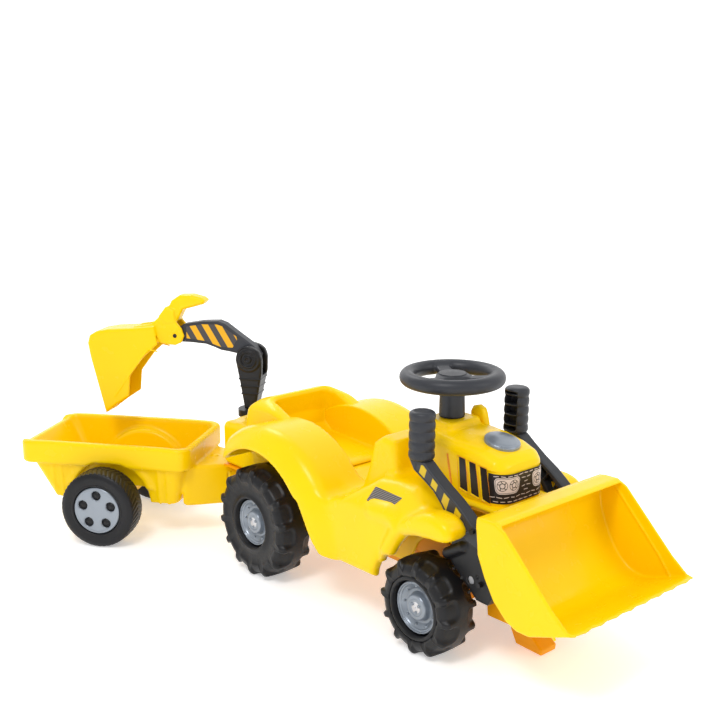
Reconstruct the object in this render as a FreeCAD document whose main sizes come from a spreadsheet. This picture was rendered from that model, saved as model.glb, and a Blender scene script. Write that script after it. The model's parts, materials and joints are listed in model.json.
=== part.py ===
import FreeCAD, Part
import Sketcher
import math
import os

# Ride-on digger: a tractor with a front loader and a rear digging arm, towing a small trailer.
# Millimetres. The tractor is modelled with +X forward, +Y left, +Z up, and X = Y = 0 over the
# middle of the rear axle. The trailer and the digging arm have frames of their own.

Vector = FreeCAD.Vector
Placement = FreeCAD.Placement
Rotation = FreeCAD.Rotation

doc = FreeCAD.newDocument("ride_on_digger")

# ---------------------------------------------------------------------------
# Driving dimensions
# ---------------------------------------------------------------------------
DIMENSIONS = [
    ("frame_shift_x", 46.05),
    ("frame_shift_y", -102.64),
    ("wheelbase", 404.0),
    ("rear_radius", 100.0),
    ("rear_width", 71.0),
    ("rear_offset", 135.0),
    ("front_radius", 77.4),
    ("front_width", 70.0),
    ("front_offset", 126.0),
    ("trailer_radius", 74.4),
    ("trailer_width", 52.0),
    ("trailer_offset", 134.0),
    ("lug_height", 9.0),
    ("tyre_wall", 5.0),
    ("cap_radius", 41.6),
    ("cap_gap", 0.5),
    ("axle_radius", 5.0),
    ("running_gap", 0.05),
    ("open_pivot_gap", 0.4),
    ("keeper_radius", 9.0),
    ("shell_wall", 4.0),
    ("deck_width", 190.0),
    ("deck_floor", 150.0),
    ("seat_base", 206.0),
    ("seat_well", 136.0),
    ("beam_width", 124.0),
    ("beam_floor", 84.0),
    ("fender_outer", 172.0),
    ("skirt_outer", 150.0),
    ("hood_width", 114.0),
    ("hood_rear", 297.0),
    ("hood_front", 488.0),
    ("hood_base", 232.0),
    ("hood_corner", 29.0),
    ("column_x", 328.0),
    ("column_radius", 21.0),
    ("wheel_height", 400.0),
    ("ring_radius", 72.5),
    ("ring_thickness", 25.0),
    ("lever_length", 34.0),
    ("link_pin", 4.0),
    ("kingpin_radius", 9.0),
    ("loader_x", 486.0),
    ("loader_z", 140.0),
    ("loader_rod", 6.0),
    ("arm_inner", 98.0),
    ("arm_thickness", 21.0),
    ("sticker_thickness", 0.5),
    ("grip_x", 370.0),
    ("grip_y", 108.0),
    ("grip_radius", 19.5),
    ("grip_foot", 297.0),
    ("grip_height", 76.0),
    ("bucket_width", 289.0),
    ("bucket_wall", 4.0),
    ("ear_gap", 0.8),
    ("ear_thickness", 5.0),
    ("bucket_pin", 4.0),
    ("post_x", -222.0),
    ("slew_angle", 35.0),
    ("knuckle_z", 340.0),
    ("knuckle_radius", 25.0),
    ("post_width", 44.0),
    ("boom_width", 25.0),
    ("fork_gap", 0.5),
    ("boom_pin", 6.0),
    ("digger_pivot_s", 150.0),
    ("digger_pivot_z", 379.0),
    ("dipper_plate", 6.0),
    ("digger_width", 62.0),
    ("digger_wall", 3.0),
    ("hitch_x", -148.0),
    ("hitch_radius", 7.0),
    ("hitch_gap", 0.1),
    ("trailer_angle", 36.4),
    ("trailer_axle_x", 307.0),
    ("trailer_rim_width", 212.0),
    ("trailer_rim_top", 188.0),
    ("trailer_rim_base", 146.0),
    ("trailer_front", 142.0),
    ("trailer_rear", 492.0),
    ("screw_radius", 4.0),
]

sheet = doc.addObject("Spreadsheet::Sheet", "Sizes")
for row, (alias, number) in enumerate(DIMENSIONS, start=1):
    sheet.set(f"A{row}", alias)
    sheet.set(f"B{row}", str(number))
    sheet.setAlias(f"B{row}", alias)
doc.recompute()


class Size:
    """A length that knows both its number and the spreadsheet expression it comes from."""

    def __init__(self, number, text):
        self.number = float(number)
        self.text = text

    @staticmethod
    def of(value):
        if isinstance(value, Size):
            return value
        return Size(value, repr(float(value)))

    def combine(self, other, sign, number):
        return Size(number, f"({self.text} {sign} {other.text})")

    def __add__(self, other):
        other = Size.of(other)
        return self.combine(other, "+", self.number + other.number)

    def __sub__(self, other):
        other = Size.of(other)
        return self.combine(other, "-", self.number - other.number)

    __radd__ = __add__

    def __rsub__(self, other):
        return Size.of(other) - self

    def __mul__(self, other):
        other = Size.of(other)
        return self.combine(other, "*", self.number * other.number)

    def __truediv__(self, other):
        other = Size.of(other)
        return self.combine(other, "/", self.number / other.number)

    def __neg__(self):
        return Size(-self.number, f"(-{self.text})")

    def __float__(self):
        return self.number


def size(alias):
    """The named cell of the spreadsheet, as a Size."""
    return Size(sheet.get(alias), f"Sizes.{alias}")


def bind(thing, name, value):
    """Give a property its value, tied to the spreadsheet where the value comes from there."""
    if isinstance(value, Size):
        thing.setExpression(name, value.text)
    else:
        setattr(thing, name, value)


# ---------------------------------------------------------------------------
# Ways of making a solid
# ---------------------------------------------------------------------------
AXES = {
    "y": Rotation(Vector(1, 0, 0), -90),
    "z": Rotation(),
}


def plane_of(body, role):
    """One of the body's own origin planes or axes."""
    return [feature for feature in body.Origin.OriginFeatures if feature.Role == role][0]


def arc_between(start, through, finish):
    """The anticlockwise arc that runs from start past through to finish."""
    circle = Part.Arc(start, through, finish).toShape().Curve
    centre = Vector(circle.Center.x, circle.Center.y, 0)
    angles = [math.atan2(point.y - centre.y, point.x - centre.x) for point in (start, finish)]
    if angles[1] < angles[0]:
        angles[1] += 2 * math.pi
    return Part.ArcOfCircle(Part.Circle(centre, Vector(0, 0, 1), circle.Radius), *angles)


def draw(sketch, outline):
    """A closed outline. A pair is a straight run to that point; four numbers add a point that
    the arc to it passes through. Coordinates that are Sizes are constrained to their cells."""
    last = outline[-1]
    start = Vector(float(last[0]), float(last[1]), 0)
    ends = []
    for entry in outline:
        finish = Vector(float(entry[0]), float(entry[1]), 0)
        if len(entry) == 2:
            index = sketch.addGeometry(Part.LineSegment(start, finish))
            ends.append((index, 1, 2))
        else:
            through = Vector(float(entry[2]), float(entry[3]), 0)
            forward = (through - start).cross(finish - through).z > 0
            first, second = (start, finish) if forward else (finish, start)
            index = sketch.addGeometry(arc_between(first, through, second))
            ends.append((index, 1, 2) if forward else (index, 2, 1))
        start = finish
    for here, after in zip(ends, ends[1:] + ends[:1]):
        sketch.addConstraint(Sketcher.Constraint("Coincident", here[0], here[2], after[0], after[1]))
    for entry, end in zip(outline, ends):
        for kind, value in (("DistanceX", entry[0]), ("DistanceY", entry[1])):
            if isinstance(value, Size) and abs(value.number) > 1e-9:
                limit = Sketcher.Constraint(kind, -1, 1, end[0], end[2], value.number)
                index = sketch.addConstraint(limit)
                sketch.setExpression(f"Constraints[{index}]", value.text)


def new_sketch(body, name, role, outline):
    sketch = body.newObject("Sketcher::SketchObject", name + "_sketch")
    sketch.AttachmentSupport = [(plane_of(body, role), "")]
    sketch.MapMode = "FlatFace"
    draw(sketch, outline)
    return sketch


def side_pad(name, outline, width, middle=0.0):
    """An (x, z) outline made solid across the width, centred on y = middle."""
    body = doc.addObject("PartDesign::Body", name)
    sketch = new_sketch(body, name, "XZ_Plane", outline)
    pad = body.newObject("PartDesign::Pad", name + "_pad")
    pad.Profile = sketch
    pad.SideType = "Symmetric"
    bind(pad, "Length", width)
    body.Placement = Placement(Vector(0, float(middle), 0), Rotation())
    return body


def plan_pad(name, outline, bottom, height):
    """An (x, y) outline made solid upwards from z = bottom."""
    body = doc.addObject("PartDesign::Body", name)
    sketch = new_sketch(body, name, "XY_Plane", outline)
    pad = body.newObject("PartDesign::Pad", name + "_pad")
    pad.Profile = sketch
    bind(pad, "Length", height)
    body.Placement = Placement(Vector(0, 0, float(bottom)), Rotation())
    return body


def turned(name, outline, axis="y", at=(0, 0, 0)):
    """A (radius, along) outline turned a full circle about an axis through the point."""
    body = doc.addObject("PartDesign::Body", name)
    role = "XY_Plane" if axis == "y" else "XZ_Plane"
    sketch = new_sketch(body, name, role, outline)
    turn = body.newObject("PartDesign::Revolution", name + "_turn")
    turn.Profile = sketch
    turn.ReferenceAxis = (sketch, ["V_Axis"])
    turn.Angle = 360
    body.Placement = Placement(Vector(*[float(value) for value in at]), Rotation())
    return body


def rod(name, radius, length, at, axis="y"):
    """A cylinder centred on the point."""
    item = doc.addObject("Part::Cylinder", name)
    bind(item, "Radius", radius)
    bind(item, "Height", length)
    turn = AXES[axis]
    middle = Vector(*[float(value) for value in at])
    start = middle - turn.multVec(Vector(0, 0, float(length) / 2))
    item.Placement = Placement(start, turn)
    return item


def block(name, low, high):
    """A box between two corners."""
    item = doc.addObject("Part::Box", name)
    for side, first, last in zip(("Length", "Width", "Height"), low, high):
        bind(item, side, Size.of(last) - Size.of(first))
    item.Placement = Placement(Vector(*[float(value) for value in low]), Rotation())
    return item


def joined(name, pieces):
    """Several overlapping solids made one."""
    item = doc.addObject("Part::MultiFuse", name)
    item.Shapes = pieces
    item.Refine = True
    return item


def grouped(name, pieces):
    item = doc.addObject("Part::Compound", name)
    item.Links = pieces
    return item


def less(name, base, tools):
    """The base with every tool cut away."""
    for count, tool in enumerate(tools):
        item = doc.addObject("Part::Cut", name if count == len(tools) - 1 else f"{name}_cut_{count}")
        item.Base = base
        item.Tool = tool
        base = item
    return base


def shared(name, first, second):
    """What two solids have in common."""
    item = doc.addObject("Part::Common", name)
    item.Base = first
    item.Tool = second
    return item


def about(point, radius, degrees):
    """The point at an angle on a circle in the outline's own plane."""
    angle = math.radians(degrees)
    return (point[0] + radius * math.cos(angle), point[1] + radius * math.sin(angle))


def arc_to(centre, radius, start, finish):
    """The outline entry of an arc about the centre, from one angle to another, in degrees."""
    return about(centre, radius, finish) + about(centre, radius, (start + finish) / 2)


# ---------------------------------------------------------------------------
# Where the pieces stand
# ---------------------------------------------------------------------------
shift = Vector(float(size("frame_shift_x")), -float(size("frame_shift_y")), 0)
hitch_spot = Vector(float(size("hitch_x")), 0, 0)
post_spot = Vector(float(size("post_x")), 0, 0)
UP = Vector(0, 0, 1)
tractor_place = Placement(Vector(-shift.x, shift.y, 0), Rotation())
trailer_place = tractor_place * Placement(hitch_spot, Rotation(UP, float(size("trailer_angle"))))
digger_place = tractor_place * Placement(post_spot, Rotation(UP, float(size("slew_angle"))))

nodes = []


def keep(item, label, place=tractor_place):
    """Name a finished sub-part and stand it in the part's own frame."""
    item.Label = label
    item.Placement = place * item.Placement
    nodes.append(item)
    return item


SIDES = (("right", -1), ("left", 1))

# ---------------------------------------------------------------------------
# Wheels, hub caps, axles and their push-on keepers
# ---------------------------------------------------------------------------
axle = size("axle_radius")
bore = axle + size("running_gap")
RECESS = 14.0
WEB = 4.0
HUB_WALL = 6.0
HUB = (0.0, 0.0)
LUG_SHARE = 0.42
CREST = 0.6


def wheel(name, radius, width, lugs, lug_height, pocket):
    """A hollow moulded wheel, open inwards, with its outer face on +Y and two rows of lugs."""
    body = doc.addObject("PartDesign::Body", name)
    half = width / 2
    base = radius - lug_height
    hub = bore + HUB_WALL
    web_outer = half - RECESS
    web_inner = web_outer - WEB
    outline = [
        (bore, -half),
        (hub, -half),
        (hub, web_inner),
        (base - size("tyre_wall"), web_inner),
        (base - size("tyre_wall"), -half),
        (base - 2.0, -half),
        (base, -half + 6.0),
        (base, half - 8.0),
        (base - 8.0, half),
        (pocket, half),
        (pocket, web_outer),
        (bore, web_outer),
    ]
    sketch = new_sketch(body, name, "XY_Plane", outline)
    turn = body.newObject("PartDesign::Revolution", name + "_turn")
    turn.Profile = sketch
    turn.ReferenceAxis = (sketch, ["V_Axis"])
    turn.Angle = 360
    tip = turn
    if lugs:
        foot = float(base) - 3.0
        top = float(radius)
        lug_half = math.pi * top / lugs * LUG_SHARE
        crown = math.sqrt(top ** 2 - (CREST * lug_half) ** 2)
        for row, (start_angle, reverse) in enumerate(((90.0, True), (90.0 + 180.0 / lugs, False))):
            spread = math.degrees(lug_half / top)
            corners = [
                about(HUB, foot, start_angle + spread),
                about(HUB, foot, start_angle - spread),
                about(HUB, math.hypot(crown, CREST * lug_half), start_angle - CREST * spread),
                about(HUB, math.hypot(crown, CREST * lug_half), start_angle + CREST * spread),
            ]
            lug_sketch = new_sketch(body, f"{name}_lug_{row}", "XZ_Plane", corners)
            lug = body.newObject("PartDesign::Pad", f"{name}_lug_{row}_pad")
            lug.Profile = lug_sketch
            lug.SideType = "One side"
            lug.Reversed = reverse
            bind(lug, "Length", half - 3.0)
            ring = body.newObject("PartDesign::PolarPattern", f"{name}_lug_{row}_ring")
            ring.Originals = [lug]
            ring.Axis = (plane_of(body, "Y_Axis"), [""])
            ring.Angle = 360
            ring.Occurrences = lugs
            tip = ring
            body.Tip = ring
    body.Tip = tip
    return body


def hub_cap(name, width, radius):
    """A dished cap with a rim ring and a raised centre, hollow behind the centre."""
    floor = width / 2 - RECESS
    outline = [
        (12.0, floor),
        (radius, floor),
        (radius, floor + 5.0),
        (radius - 3.5, floor + 7.5),
        (radius - 8.0, floor + 5.0),
        (radius / 2, floor + 4.0),
        (radius / 2 - 3.0, floor + 9.0),
        (8.0, floor + 11.0),
        (Size.of(0.0), floor + 11.5),
        (Size.of(0.0), floor + 8.0),
        (12.0, floor + 8.0),
    ]
    return turned(name, outline)


def wheel_set(prefix, radius, width, offset, lugs, lug_height, cap, place, centre):
    """Both wheels of one axle, their caps, the axle and its two keepers."""
    keepers = []
    for side_name, side in SIDES:
        facing = Rotation(UP, 0 if side > 0 else 180)
        spot = Vector(centre[0], side * float(offset), centre[1])
        stand = Placement(spot, facing)
        tyre = wheel(f"{prefix}_wheel_{side_name}", radius, width, lugs, lug_height, cap + size("cap_gap"))
        tyre.Placement = stand
        keep(tyre, f"{prefix}_wheel_{side_name}", place)
        cover = hub_cap(f"{prefix}_hub_cap_{side_name}", width, cap)
        cover.Placement = stand
        keep(cover, f"{prefix}_hub_cap_{side_name}", place)
        floor = width / 2 - RECESS
        keeper = turned(
            f"{prefix}_keeper_{side_name}",
            [
                (axle, floor + 0.6),
                (size("keeper_radius"), floor + 0.6),
                (size("keeper_radius"), floor + 5.0),
                (Size.of(0.0), floor + 6.0),
                (Size.of(0.0), floor + 4.0),
                (axle, floor + 4.0),
            ],
        )
        keeper.Placement = stand
        keepers.append(keeper)
    half_length = offset + width / 2 - RECESS + 4.0
    spindle = rod(f"{prefix}_axle_rod", axle, half_length * 2, (centre[0], 0, centre[1]))
    keep(spindle, f"{prefix}_axle", place)
    keep(grouped(f"{prefix}_keepers", keepers), f"{prefix}_axle_keepers", place)


wheel_set("rear", size("rear_radius"), size("rear_width"), size("rear_offset"), 14,
          size("lug_height"), size("cap_radius"), tractor_place, (0.0, float(size("rear_radius"))))
wheel_set("front", size("front_radius"), size("front_width"), size("front_offset"), 14,
          size("lug_height"), size("cap_radius"), tractor_place,
          (float(size("wheelbase")), float(size("front_radius"))))
wheel_set("trailer", size("trailer_radius"), size("trailer_width"), size("trailer_offset"), 0,
          Size.of(0.0), size("cap_radius") + 4.4, trailer_place,
          (-float(size("trailer_axle_x")), float(size("trailer_radius"))))

# ---------------------------------------------------------------------------
# Underbody: an open channel under the deck that carries both axles and the front skid
# ---------------------------------------------------------------------------
wheelbase = size("wheelbase")
deck_floor = size("deck_floor")
beam_floor = size("beam_floor")
beam_half = size("beam_width") / 2
deck_half = size("deck_width") / 2
wall = size("shell_wall")
rear_height = size("rear_radius")
LEVER_FLOOR = 118.0
kingpin = size("kingpin_radius")

beam = side_pad("beam", [
    (-116.0, beam_floor),
    (285.0, beam_floor),
    (292.0, LEVER_FLOOR),
    (464.0, LEVER_FLOOR),
    (470.0, 60.0),
    (512.0, 60.0),
    (512.0, 120.0, 520.0, 90.0),
    (504.0, deck_floor),
    (-116.0, deck_floor),
], size("beam_width"))
beam_hollow = side_pad("beam_hollow", [
    (-116.0 + wall, beam_floor + wall),
    (278.0, beam_floor + wall),
    (286.0, LEVER_FLOOR + wall),
    (352.0, LEVER_FLOOR + wall),
    (352.0, deck_floor + 1.0),
    (-116.0 + wall, deck_floor + 1.0),
], size("beam_width") - wall * 2)
flange = block("flange", (-186.0, -deck_half, deck_floor - wall), (292.0, deck_half, deck_floor))
flange_hole = block("flange_hole", (-116.0 + wall, -(beam_half - wall), deck_floor - wall - 1.0),
                    (292.0 + 1.0, beam_half - wall, deck_floor + 1.0))
flange_ring = less("flange_ring", flange, [flange_hole])
axle_box = block("axle_box", (-20.0, -deck_half, beam_floor), (20.0, deck_half, deck_floor - wall))
beam_with_box = less("beam_open", joined("beam_solid", [beam, axle_box]), [beam_hollow])
column_boss = rod("column_boss", 14.0, deck_floor - 2.0 - LEVER_FLOOR,
                  (size("column_x"), 0, (deck_floor - 2.0 + LEVER_FLOOR) / 2), "z")
underbody_solid = joined("underbody_solid", [beam_with_box, flange_ring, column_boss])
underbody = less("underbody_cut", underbody_solid, [
    rod("rear_axle_bore", axle, size("deck_width") + 20.0, (0, 0, rear_height)),
    rod("kingpin_bore", kingpin + size("running_gap"), 60.0, (wheelbase, 0, LEVER_FLOOR), "z"),
    rod("column_bore", axle + size("running_gap"), 100.0, (size("column_x"), 0, LEVER_FLOOR), "z"),
    rod("loader_bore", size("loader_rod"), 200.0, (size("loader_x"), 0, size("loader_z"))),
])
keep(underbody, "underbody")

skid = side_pad("skid_shape", [
    (474.0, 60.0),
    (478.0, 24.0),
    (492.0, 4.0),
    (540.0, 4.0),
    (540.0, 14.0),
    (512.0, 34.0),
    (508.0, 60.0),
], 56.0)
keep(skid, "front_skid")

# ---------------------------------------------------------------------------
# Body shell: deck, side skirts, rear fenders, front fenders and the block under the hood
# ---------------------------------------------------------------------------
FENDER = (12.0, 92.0)
FENDER_TOP = 187.0
FENDER_ARCH = 143.0
FENDER_REAR = 146.0
FENDER_FRONT = 4.0
fender_outer = size("fender_outer")
skirt_outer = size("skirt_outer")


def deck_outline(inset):
    """The side view of the middle of the shell; inset makes the hollow under it."""
    floor = deck_floor - 1.0 if inset else deck_floor
    return [
        (-232.0 + inset, floor),
        (-232.0 + inset, 214.0 - inset),
        (-222.0 + inset, 222.0 - inset),
        (-176.0 + inset, 222.0 - inset),
        (-170.0 + inset, 240.0 - inset),
        (-114.0 - inset, 240.0 - inset),
        (-114.0 - inset, size("seat_base") - inset),
        (132.0 + inset, size("seat_base") - inset),
        (228.0 + inset, 236.0 - inset, 182.0, 190.0 - inset),
        (244.0 + inset, 296.0 - inset),
        (268.0, 304.0 - inset, 252.0, 303.0 - inset),
        (296.0 - inset, 296.0 - inset),
        (296.0 - inset, size("hood_base") - inset),
        (486.0 - inset, size("hood_base") - inset),
        (486.0 - inset, floor),
    ]


deck_wide = side_pad("deck_wide", deck_outline(0.0), size("deck_width"))
deck_hollow = side_pad("deck_hollow", deck_outline(4.0), beam_half * 2 - wall * 2)
nose_trim = [
    block(f"nose_trim_{name}", (300.0, side * 80.0 - 18.0, 100.0), (500.0, side * 80.0 + 18.0, 300.0))
    for name, side in SIDES
]
rear_trim = [
    block(f"rear_trim_{name}", (-240.0, side * 80.0 - 40.0, 100.0), (-190.0, side * 80.0 + 40.0, 300.0))
    for name, side in SIDES
]
side_pockets = []
for name, side in SIDES:
    pocket_width = deck_half - wall - beam_half
    pocket_middle = (beam_half + pocket_width / 2) * side
    side_pockets.append(shared(
        f"side_pocket_{name}",
        side_pad(f"side_pocket_view_{name}", deck_outline(4.0), pocket_width, pocket_middle),
        block(f"side_pocket_length_{name}", (-184.0, -deck_half, 100.0), (292.0, deck_half, 300.0)),
    ))
deck_piece = less("deck_piece", deck_wide, nose_trim + rear_trim + side_pockets)

shell_parts = [deck_piece]
for name, side in SIDES:
    lip_width = 8.0
    band_width = fender_outer - deck_half
    shell_parts.append(side_pad(f"fender_top_{name}", [
        about(FENDER, FENDER_TOP, FENDER_FRONT),
        arc_to(FENDER, FENDER_TOP, FENDER_FRONT, FENDER_REAR),
        about(FENDER, FENDER_TOP - 6.0, FENDER_REAR),
        arc_to(FENDER, FENDER_TOP - 6.0, FENDER_REAR, FENDER_FRONT),
    ], band_width, (deck_half + band_width / 2) * side))
    shell_parts.append(side_pad(f"fender_lip_{name}", [
        about(FENDER, FENDER_TOP - 3.0, FENDER_FRONT),
        arc_to(FENDER, FENDER_TOP - 3.0, FENDER_FRONT, FENDER_REAR),
        about(FENDER, FENDER_ARCH, FENDER_REAR),
        arc_to(FENDER, FENDER_ARCH, FENDER_REAR, FENDER_FRONT),
    ], lip_width, (fender_outer - lip_width / 2) * side))
    skirt_width = skirt_outer - deck_half
    skirt = side_pad(f"skirt_solid_{name}", [
        (168.0, 84.0),
        (300.0, 84.0),
        (302.0, 100.0),
        (340.0, 152.0, 314.0, 130.0),
        (424.0, 196.0, 372.0, 184.0),
        (424.0, 222.0),
        (400.0, 226.0),
        (359.0, 245.0, 384.0, 240.0),
        (278.0, 243.0),
        (206.0, 196.0, 240.0, 204.0),
        (180.0, 190.0),
    ], skirt_width, (deck_half + skirt_width / 2) * side)
    skirt_hollow = side_pad(f"skirt_hollow_{name}", [
        (160.0, 80.0),
        (296.0, 80.0),
        (298.0, 102.0),
        (334.0, 156.0, 309.0, 133.0),
        (404.0, 196.0, 366.0, 187.0),
        (404.0, 216.0),
        (358.0, 240.0, 382.0, 234.0),
        (282.0, 238.0),
        (208.0, 191.0, 242.0, 198.0),
        (160.0, 182.0),
    ], skirt_width - wall, (deck_half + skirt_width / 2 - wall / 2) * side)
    shell_parts.append(less(f"skirt_{name}", skirt, [skirt_hollow]))
    shell_parts.append(side_pad(f"front_bridge_{name}", [
        (296.0, 222.0),
        (424.0, 200.0),
        (424.0, 224.0),
        (400.0, 228.0),
        (359.0, 244.0, 384.0, 240.0),
        (296.0, 242.0),
    ], deck_half - beam_half + 1.0, (deck_half + beam_half) / 2 * side))
    shell_parts.append(side_pad(f"front_fender_{name}", [
        (330.0, 150.0),
        (372.0, 184.0, 348.0, 170.0),
        (440.0, 197.0, 404.0, 195.0),
        (464.0, 206.0, 461.0, 196.0),
        (440.0, 226.0, 459.0, 221.0),
        (352.0, 190.0, 388.0, 216.0),
        (322.0, 150.0, 334.0, 172.0),
    ], 35.0, 142.5 * side))

shell_joined = joined("shell_joined", shell_parts)
body_shell = less("shell_cut", shell_joined, [
    deck_hollow,
    rod("column_way", 7.0, 400.0, (size("column_x"), 0, 200.0), "z"),
])
keep(body_shell, "body_shell")

seat_outer = side_pad("seat_outer", [
    (-113.5, size("seat_base") + 0.0),
    (-113.5, 262.0),
    (-107.0, 284.0),
    (-66.0, 301.0, -92.0, 301.0),
    (107.0, 223.0),
    (122.0, size("seat_base") + 0.0, 120.0, 216.0),
], size("deck_width") - 1.0)
seat_pan = side_pad("seat_pan", [
    (-52.0, 320.0),
    (-72.0, 262.0, -66.0, 290.0),
    (-50.0, 216.0, -70.0, 228.0),
    (140.0, 216.0),
    (140.0, 320.0),
], size("seat_well"))
seat_hollows = [block("backrest_hollow", (-109.5, -64.0, 200.0), (-77.0, 64.0, 256.0))]
for name, side in SIDES:
    seat_hollows.append(side_pad(f"seat_side_hollow_{name}", [
        (-109.5, 200.0),
        (-109.5, 261.0),
        (-103.5, 281.0),
        (-67.0, 296.0, -90.0, 296.5),
        (103.0, 219.0),
        (110.0, 200.0),
    ], 19.0, 81.5 * side))
keep(less("seat_cut", seat_outer, [seat_pan] + seat_hollows), "seat")

# ---------------------------------------------------------------------------
# Hood with its cap, stickers, lifting stub and the steering bush
# ---------------------------------------------------------------------------
hood_rear = size("hood_rear")
hood_front = size("hood_front")
hood_base = size("hood_base")
hood_half = size("hood_width") / 2


def hood_shape(name, inset):
    """The hood's side view crossed with its plan view, each drawn in by the inset."""
    base = hood_base if inset <= 0 else hood_base - 1.0
    side_view = side_pad(f"{name}_side", [
        (hood_rear + inset, base),
        (hood_rear + inset, 324.0 - inset),
        (404.0, 319.0 - inset),
        (hood_front - 28.0, 308.0 - inset, 440.0, 315.0 - inset),
        (hood_front - inset, 284.0, hood_front - 7.0 - inset, 301.0 - inset),
        (hood_front - inset, base),
    ], size("hood_width") - inset * 2.0)
    corner = size("hood_corner")
    turn = float(corner) * (1.0 - math.sqrt(0.5))
    plan_view = plan_pad(f"{name}_plan", [
        (hood_rear + inset, -(hood_half - inset)),
        (hood_front - corner, -(hood_half - inset)),
        (float(hood_front) - inset, -float(hood_half - corner) + inset,
         float(hood_front) - inset - turn, -float(hood_half) + inset + turn),
        (float(hood_front) - inset, float(hood_half - corner) - inset),
        (float(hood_front - corner), float(hood_half) - inset,
         float(hood_front) - inset - turn, float(hood_half) - inset - turn),
        (hood_rear + inset, hood_half - inset),
    ], 200.0, 200.0)
    return shared(name, side_view, plan_view)


hood_outer = hood_shape("hood_outer", 0.0)
hood_pad = block("hood_pad", (hood_rear, -34.0, 310.0), (358.0, 34.0, 336.0))
hood_inner = hood_shape("hood_inner", 4.0)
cap_x = 432.0
hood = less("hood_cut", joined("hood_solid", [hood_outer, hood_pad]), [
    hood_inner,
    rod("bush_seat", 12.0, 60.0, (size("column_x"), 0, 330.0), "z"),
])
keep(hood, "hood")

bush = turned("bush_shape", [
    (bore, 320.0),
    (12.0, 320.0),
    (12.0, 336.0),
    (20.0, 336.0),
    (20.0, 337.5),
    (bore, 337.5),
], "z", (size("column_x"), 0, 0))
keep(bush, "steering_bush")

cap = turned("cap_shape", [
    (Size.of(0.0), 307.0),
    (25.0, 307.0),
    (28.0, 318.0),
    (28.0, 322.0),
    (5.0, 328.8, 16.0, 327.5),
    (0.0, 329.0),
], "z", (cap_x, 0, 0))
cap_cut = less("cap_cut", cap, [hood_shape("hood_under_cap", 0.0)])
keep(cap_cut, "hood_cap")

stub = side_pad("stub_shape", [
    (332.0, 324.0),
    (362.0, 322.0),
    (358.0, 346.0),
    (336.0, 346.0, 347.0, 354.0),
], 12.0, 46.0)
stub_cut = less("stub_cut", stub, [hood_shape("hood_under_stub", 0.0)])
keep(stub_cut, "hood_stub")


def nose_bend(side, inset):
    """The plan-view arc round one front corner of the hood, from its side to its front."""
    corner = float(size("hood_corner"))
    turn = corner * (1.0 - math.sqrt(0.5))
    front = float(hood_front) - inset
    edge = side * (float(hood_half) - inset)
    side_end = (float(hood_front) - corner, edge)
    front_end = (front, side * (float(hood_half) - corner))
    middle = (front - turn + inset * 0.3, edge - side * (turn - inset * 0.3))
    return side_end, middle, front_end


skin = size("sticker_thickness").number
right_side, right_middle, right_front = nose_bend(-1, -skin)
left_side, left_middle, left_front = nose_bend(1, -skin)
inner_right_side, inner_right_middle, inner_right_front = nose_bend(-1, 0.0)
inner_left_side, inner_left_middle, inner_left_front = nose_bend(1, 0.0)
keep(plan_pad("grille_shape", [
    (right_side[0] - 4.0, right_side[1]),
    right_side,
    right_front + right_middle,
    left_front,
    left_side + left_middle,
    (left_side[0] - 4.0, left_side[1]),
    (left_side[0] - 4.0, inner_left_side[1]),
    inner_left_side,
    inner_left_front + inner_left_middle,
    inner_right_front,
    inner_right_side + inner_right_middle,
    (right_side[0] - 4.0, inner_right_side[1]),
], 236.0, 46.0), "grille_sticker")

vent_plates = []
for name, side in SIDES:
    edge = side * (float(hood_half) + 0.25)
    vent_plates.append(side_pad(f"vent_plate_{name}", [
        (388.0, 296.0),
        (404.0, 244.0),
        (453.0, 238.0),
        (438.0, 290.0),
    ], 0.5, edge))
keep(grouped("vent_group", vent_plates), "hood_side_stickers")

# ---------------------------------------------------------------------------
# Steering: wheel, sleeve, rod with its lever, drag link and the swinging front axle carrier
# ---------------------------------------------------------------------------
column_x = size("column_x")
ring_radius = size("ring_radius")
tube = size("ring_thickness") / 2
wheel_z = float(size("wheel_height"))

ring = doc.addObject("Part::Torus", "ring")
bind(ring, "Radius1", ring_radius)
bind(ring, "Radius2", tube)
ring.Placement = Placement(Vector(float(column_x), 0, wheel_z), Rotation())
hub = turned("ring_hub", [
    (axle, wheel_z - 12.0),
    (26.0, wheel_z - 12.0),
    (26.0, wheel_z + 3.0),
    (axle, wheel_z + 3.0),
], "z", (column_x, 0, 0))
spokes = []
for count, angle in enumerate((90.0, 210.0, 330.0)):
    spoke = doc.addObject("Part::Box", f"spoke_{count}")
    bind(spoke, "Length", ring_radius - 22.0)
    spoke.Width = 20
    spoke.Height = 10
    turn = Rotation(UP, angle)
    corner = turn.multVec(Vector(22.0, -10.0, 0)) + Vector(float(column_x), 0, wheel_z - 9.0)
    spoke.Placement = Placement(corner, turn)
    spokes.append(spoke)
wheel_solid = joined("steering_wheel_solid", [ring, hub] + spokes)
keep(wheel_solid, "steering_wheel")

sleeve = turned("sleeve_shape", [
    (axle, 338.0),
    (size("column_radius"), 338.0),
    (size("column_radius") - 1.0, wheel_z - 12.0),
    (axle, wheel_z - 12.0),
], "z", (column_x, 0, 0))
keep(sleeve, "steering_sleeve")

wheel_cap = turned("wheel_cap_shape", [
    (Size.of(0.0), wheel_z + 3.0),
    (24.0, wheel_z + 3.0),
    (22.0, wheel_z + 7.0),
    (Size.of(0.0), wheel_z + 9.0),
], "z", (column_x, 0, 0))
keep(wheel_cap, "steering_wheel_cap")

LINK_TOP = 103.5
lever_length = size("lever_length")
link_pin = size("link_pin")


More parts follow.
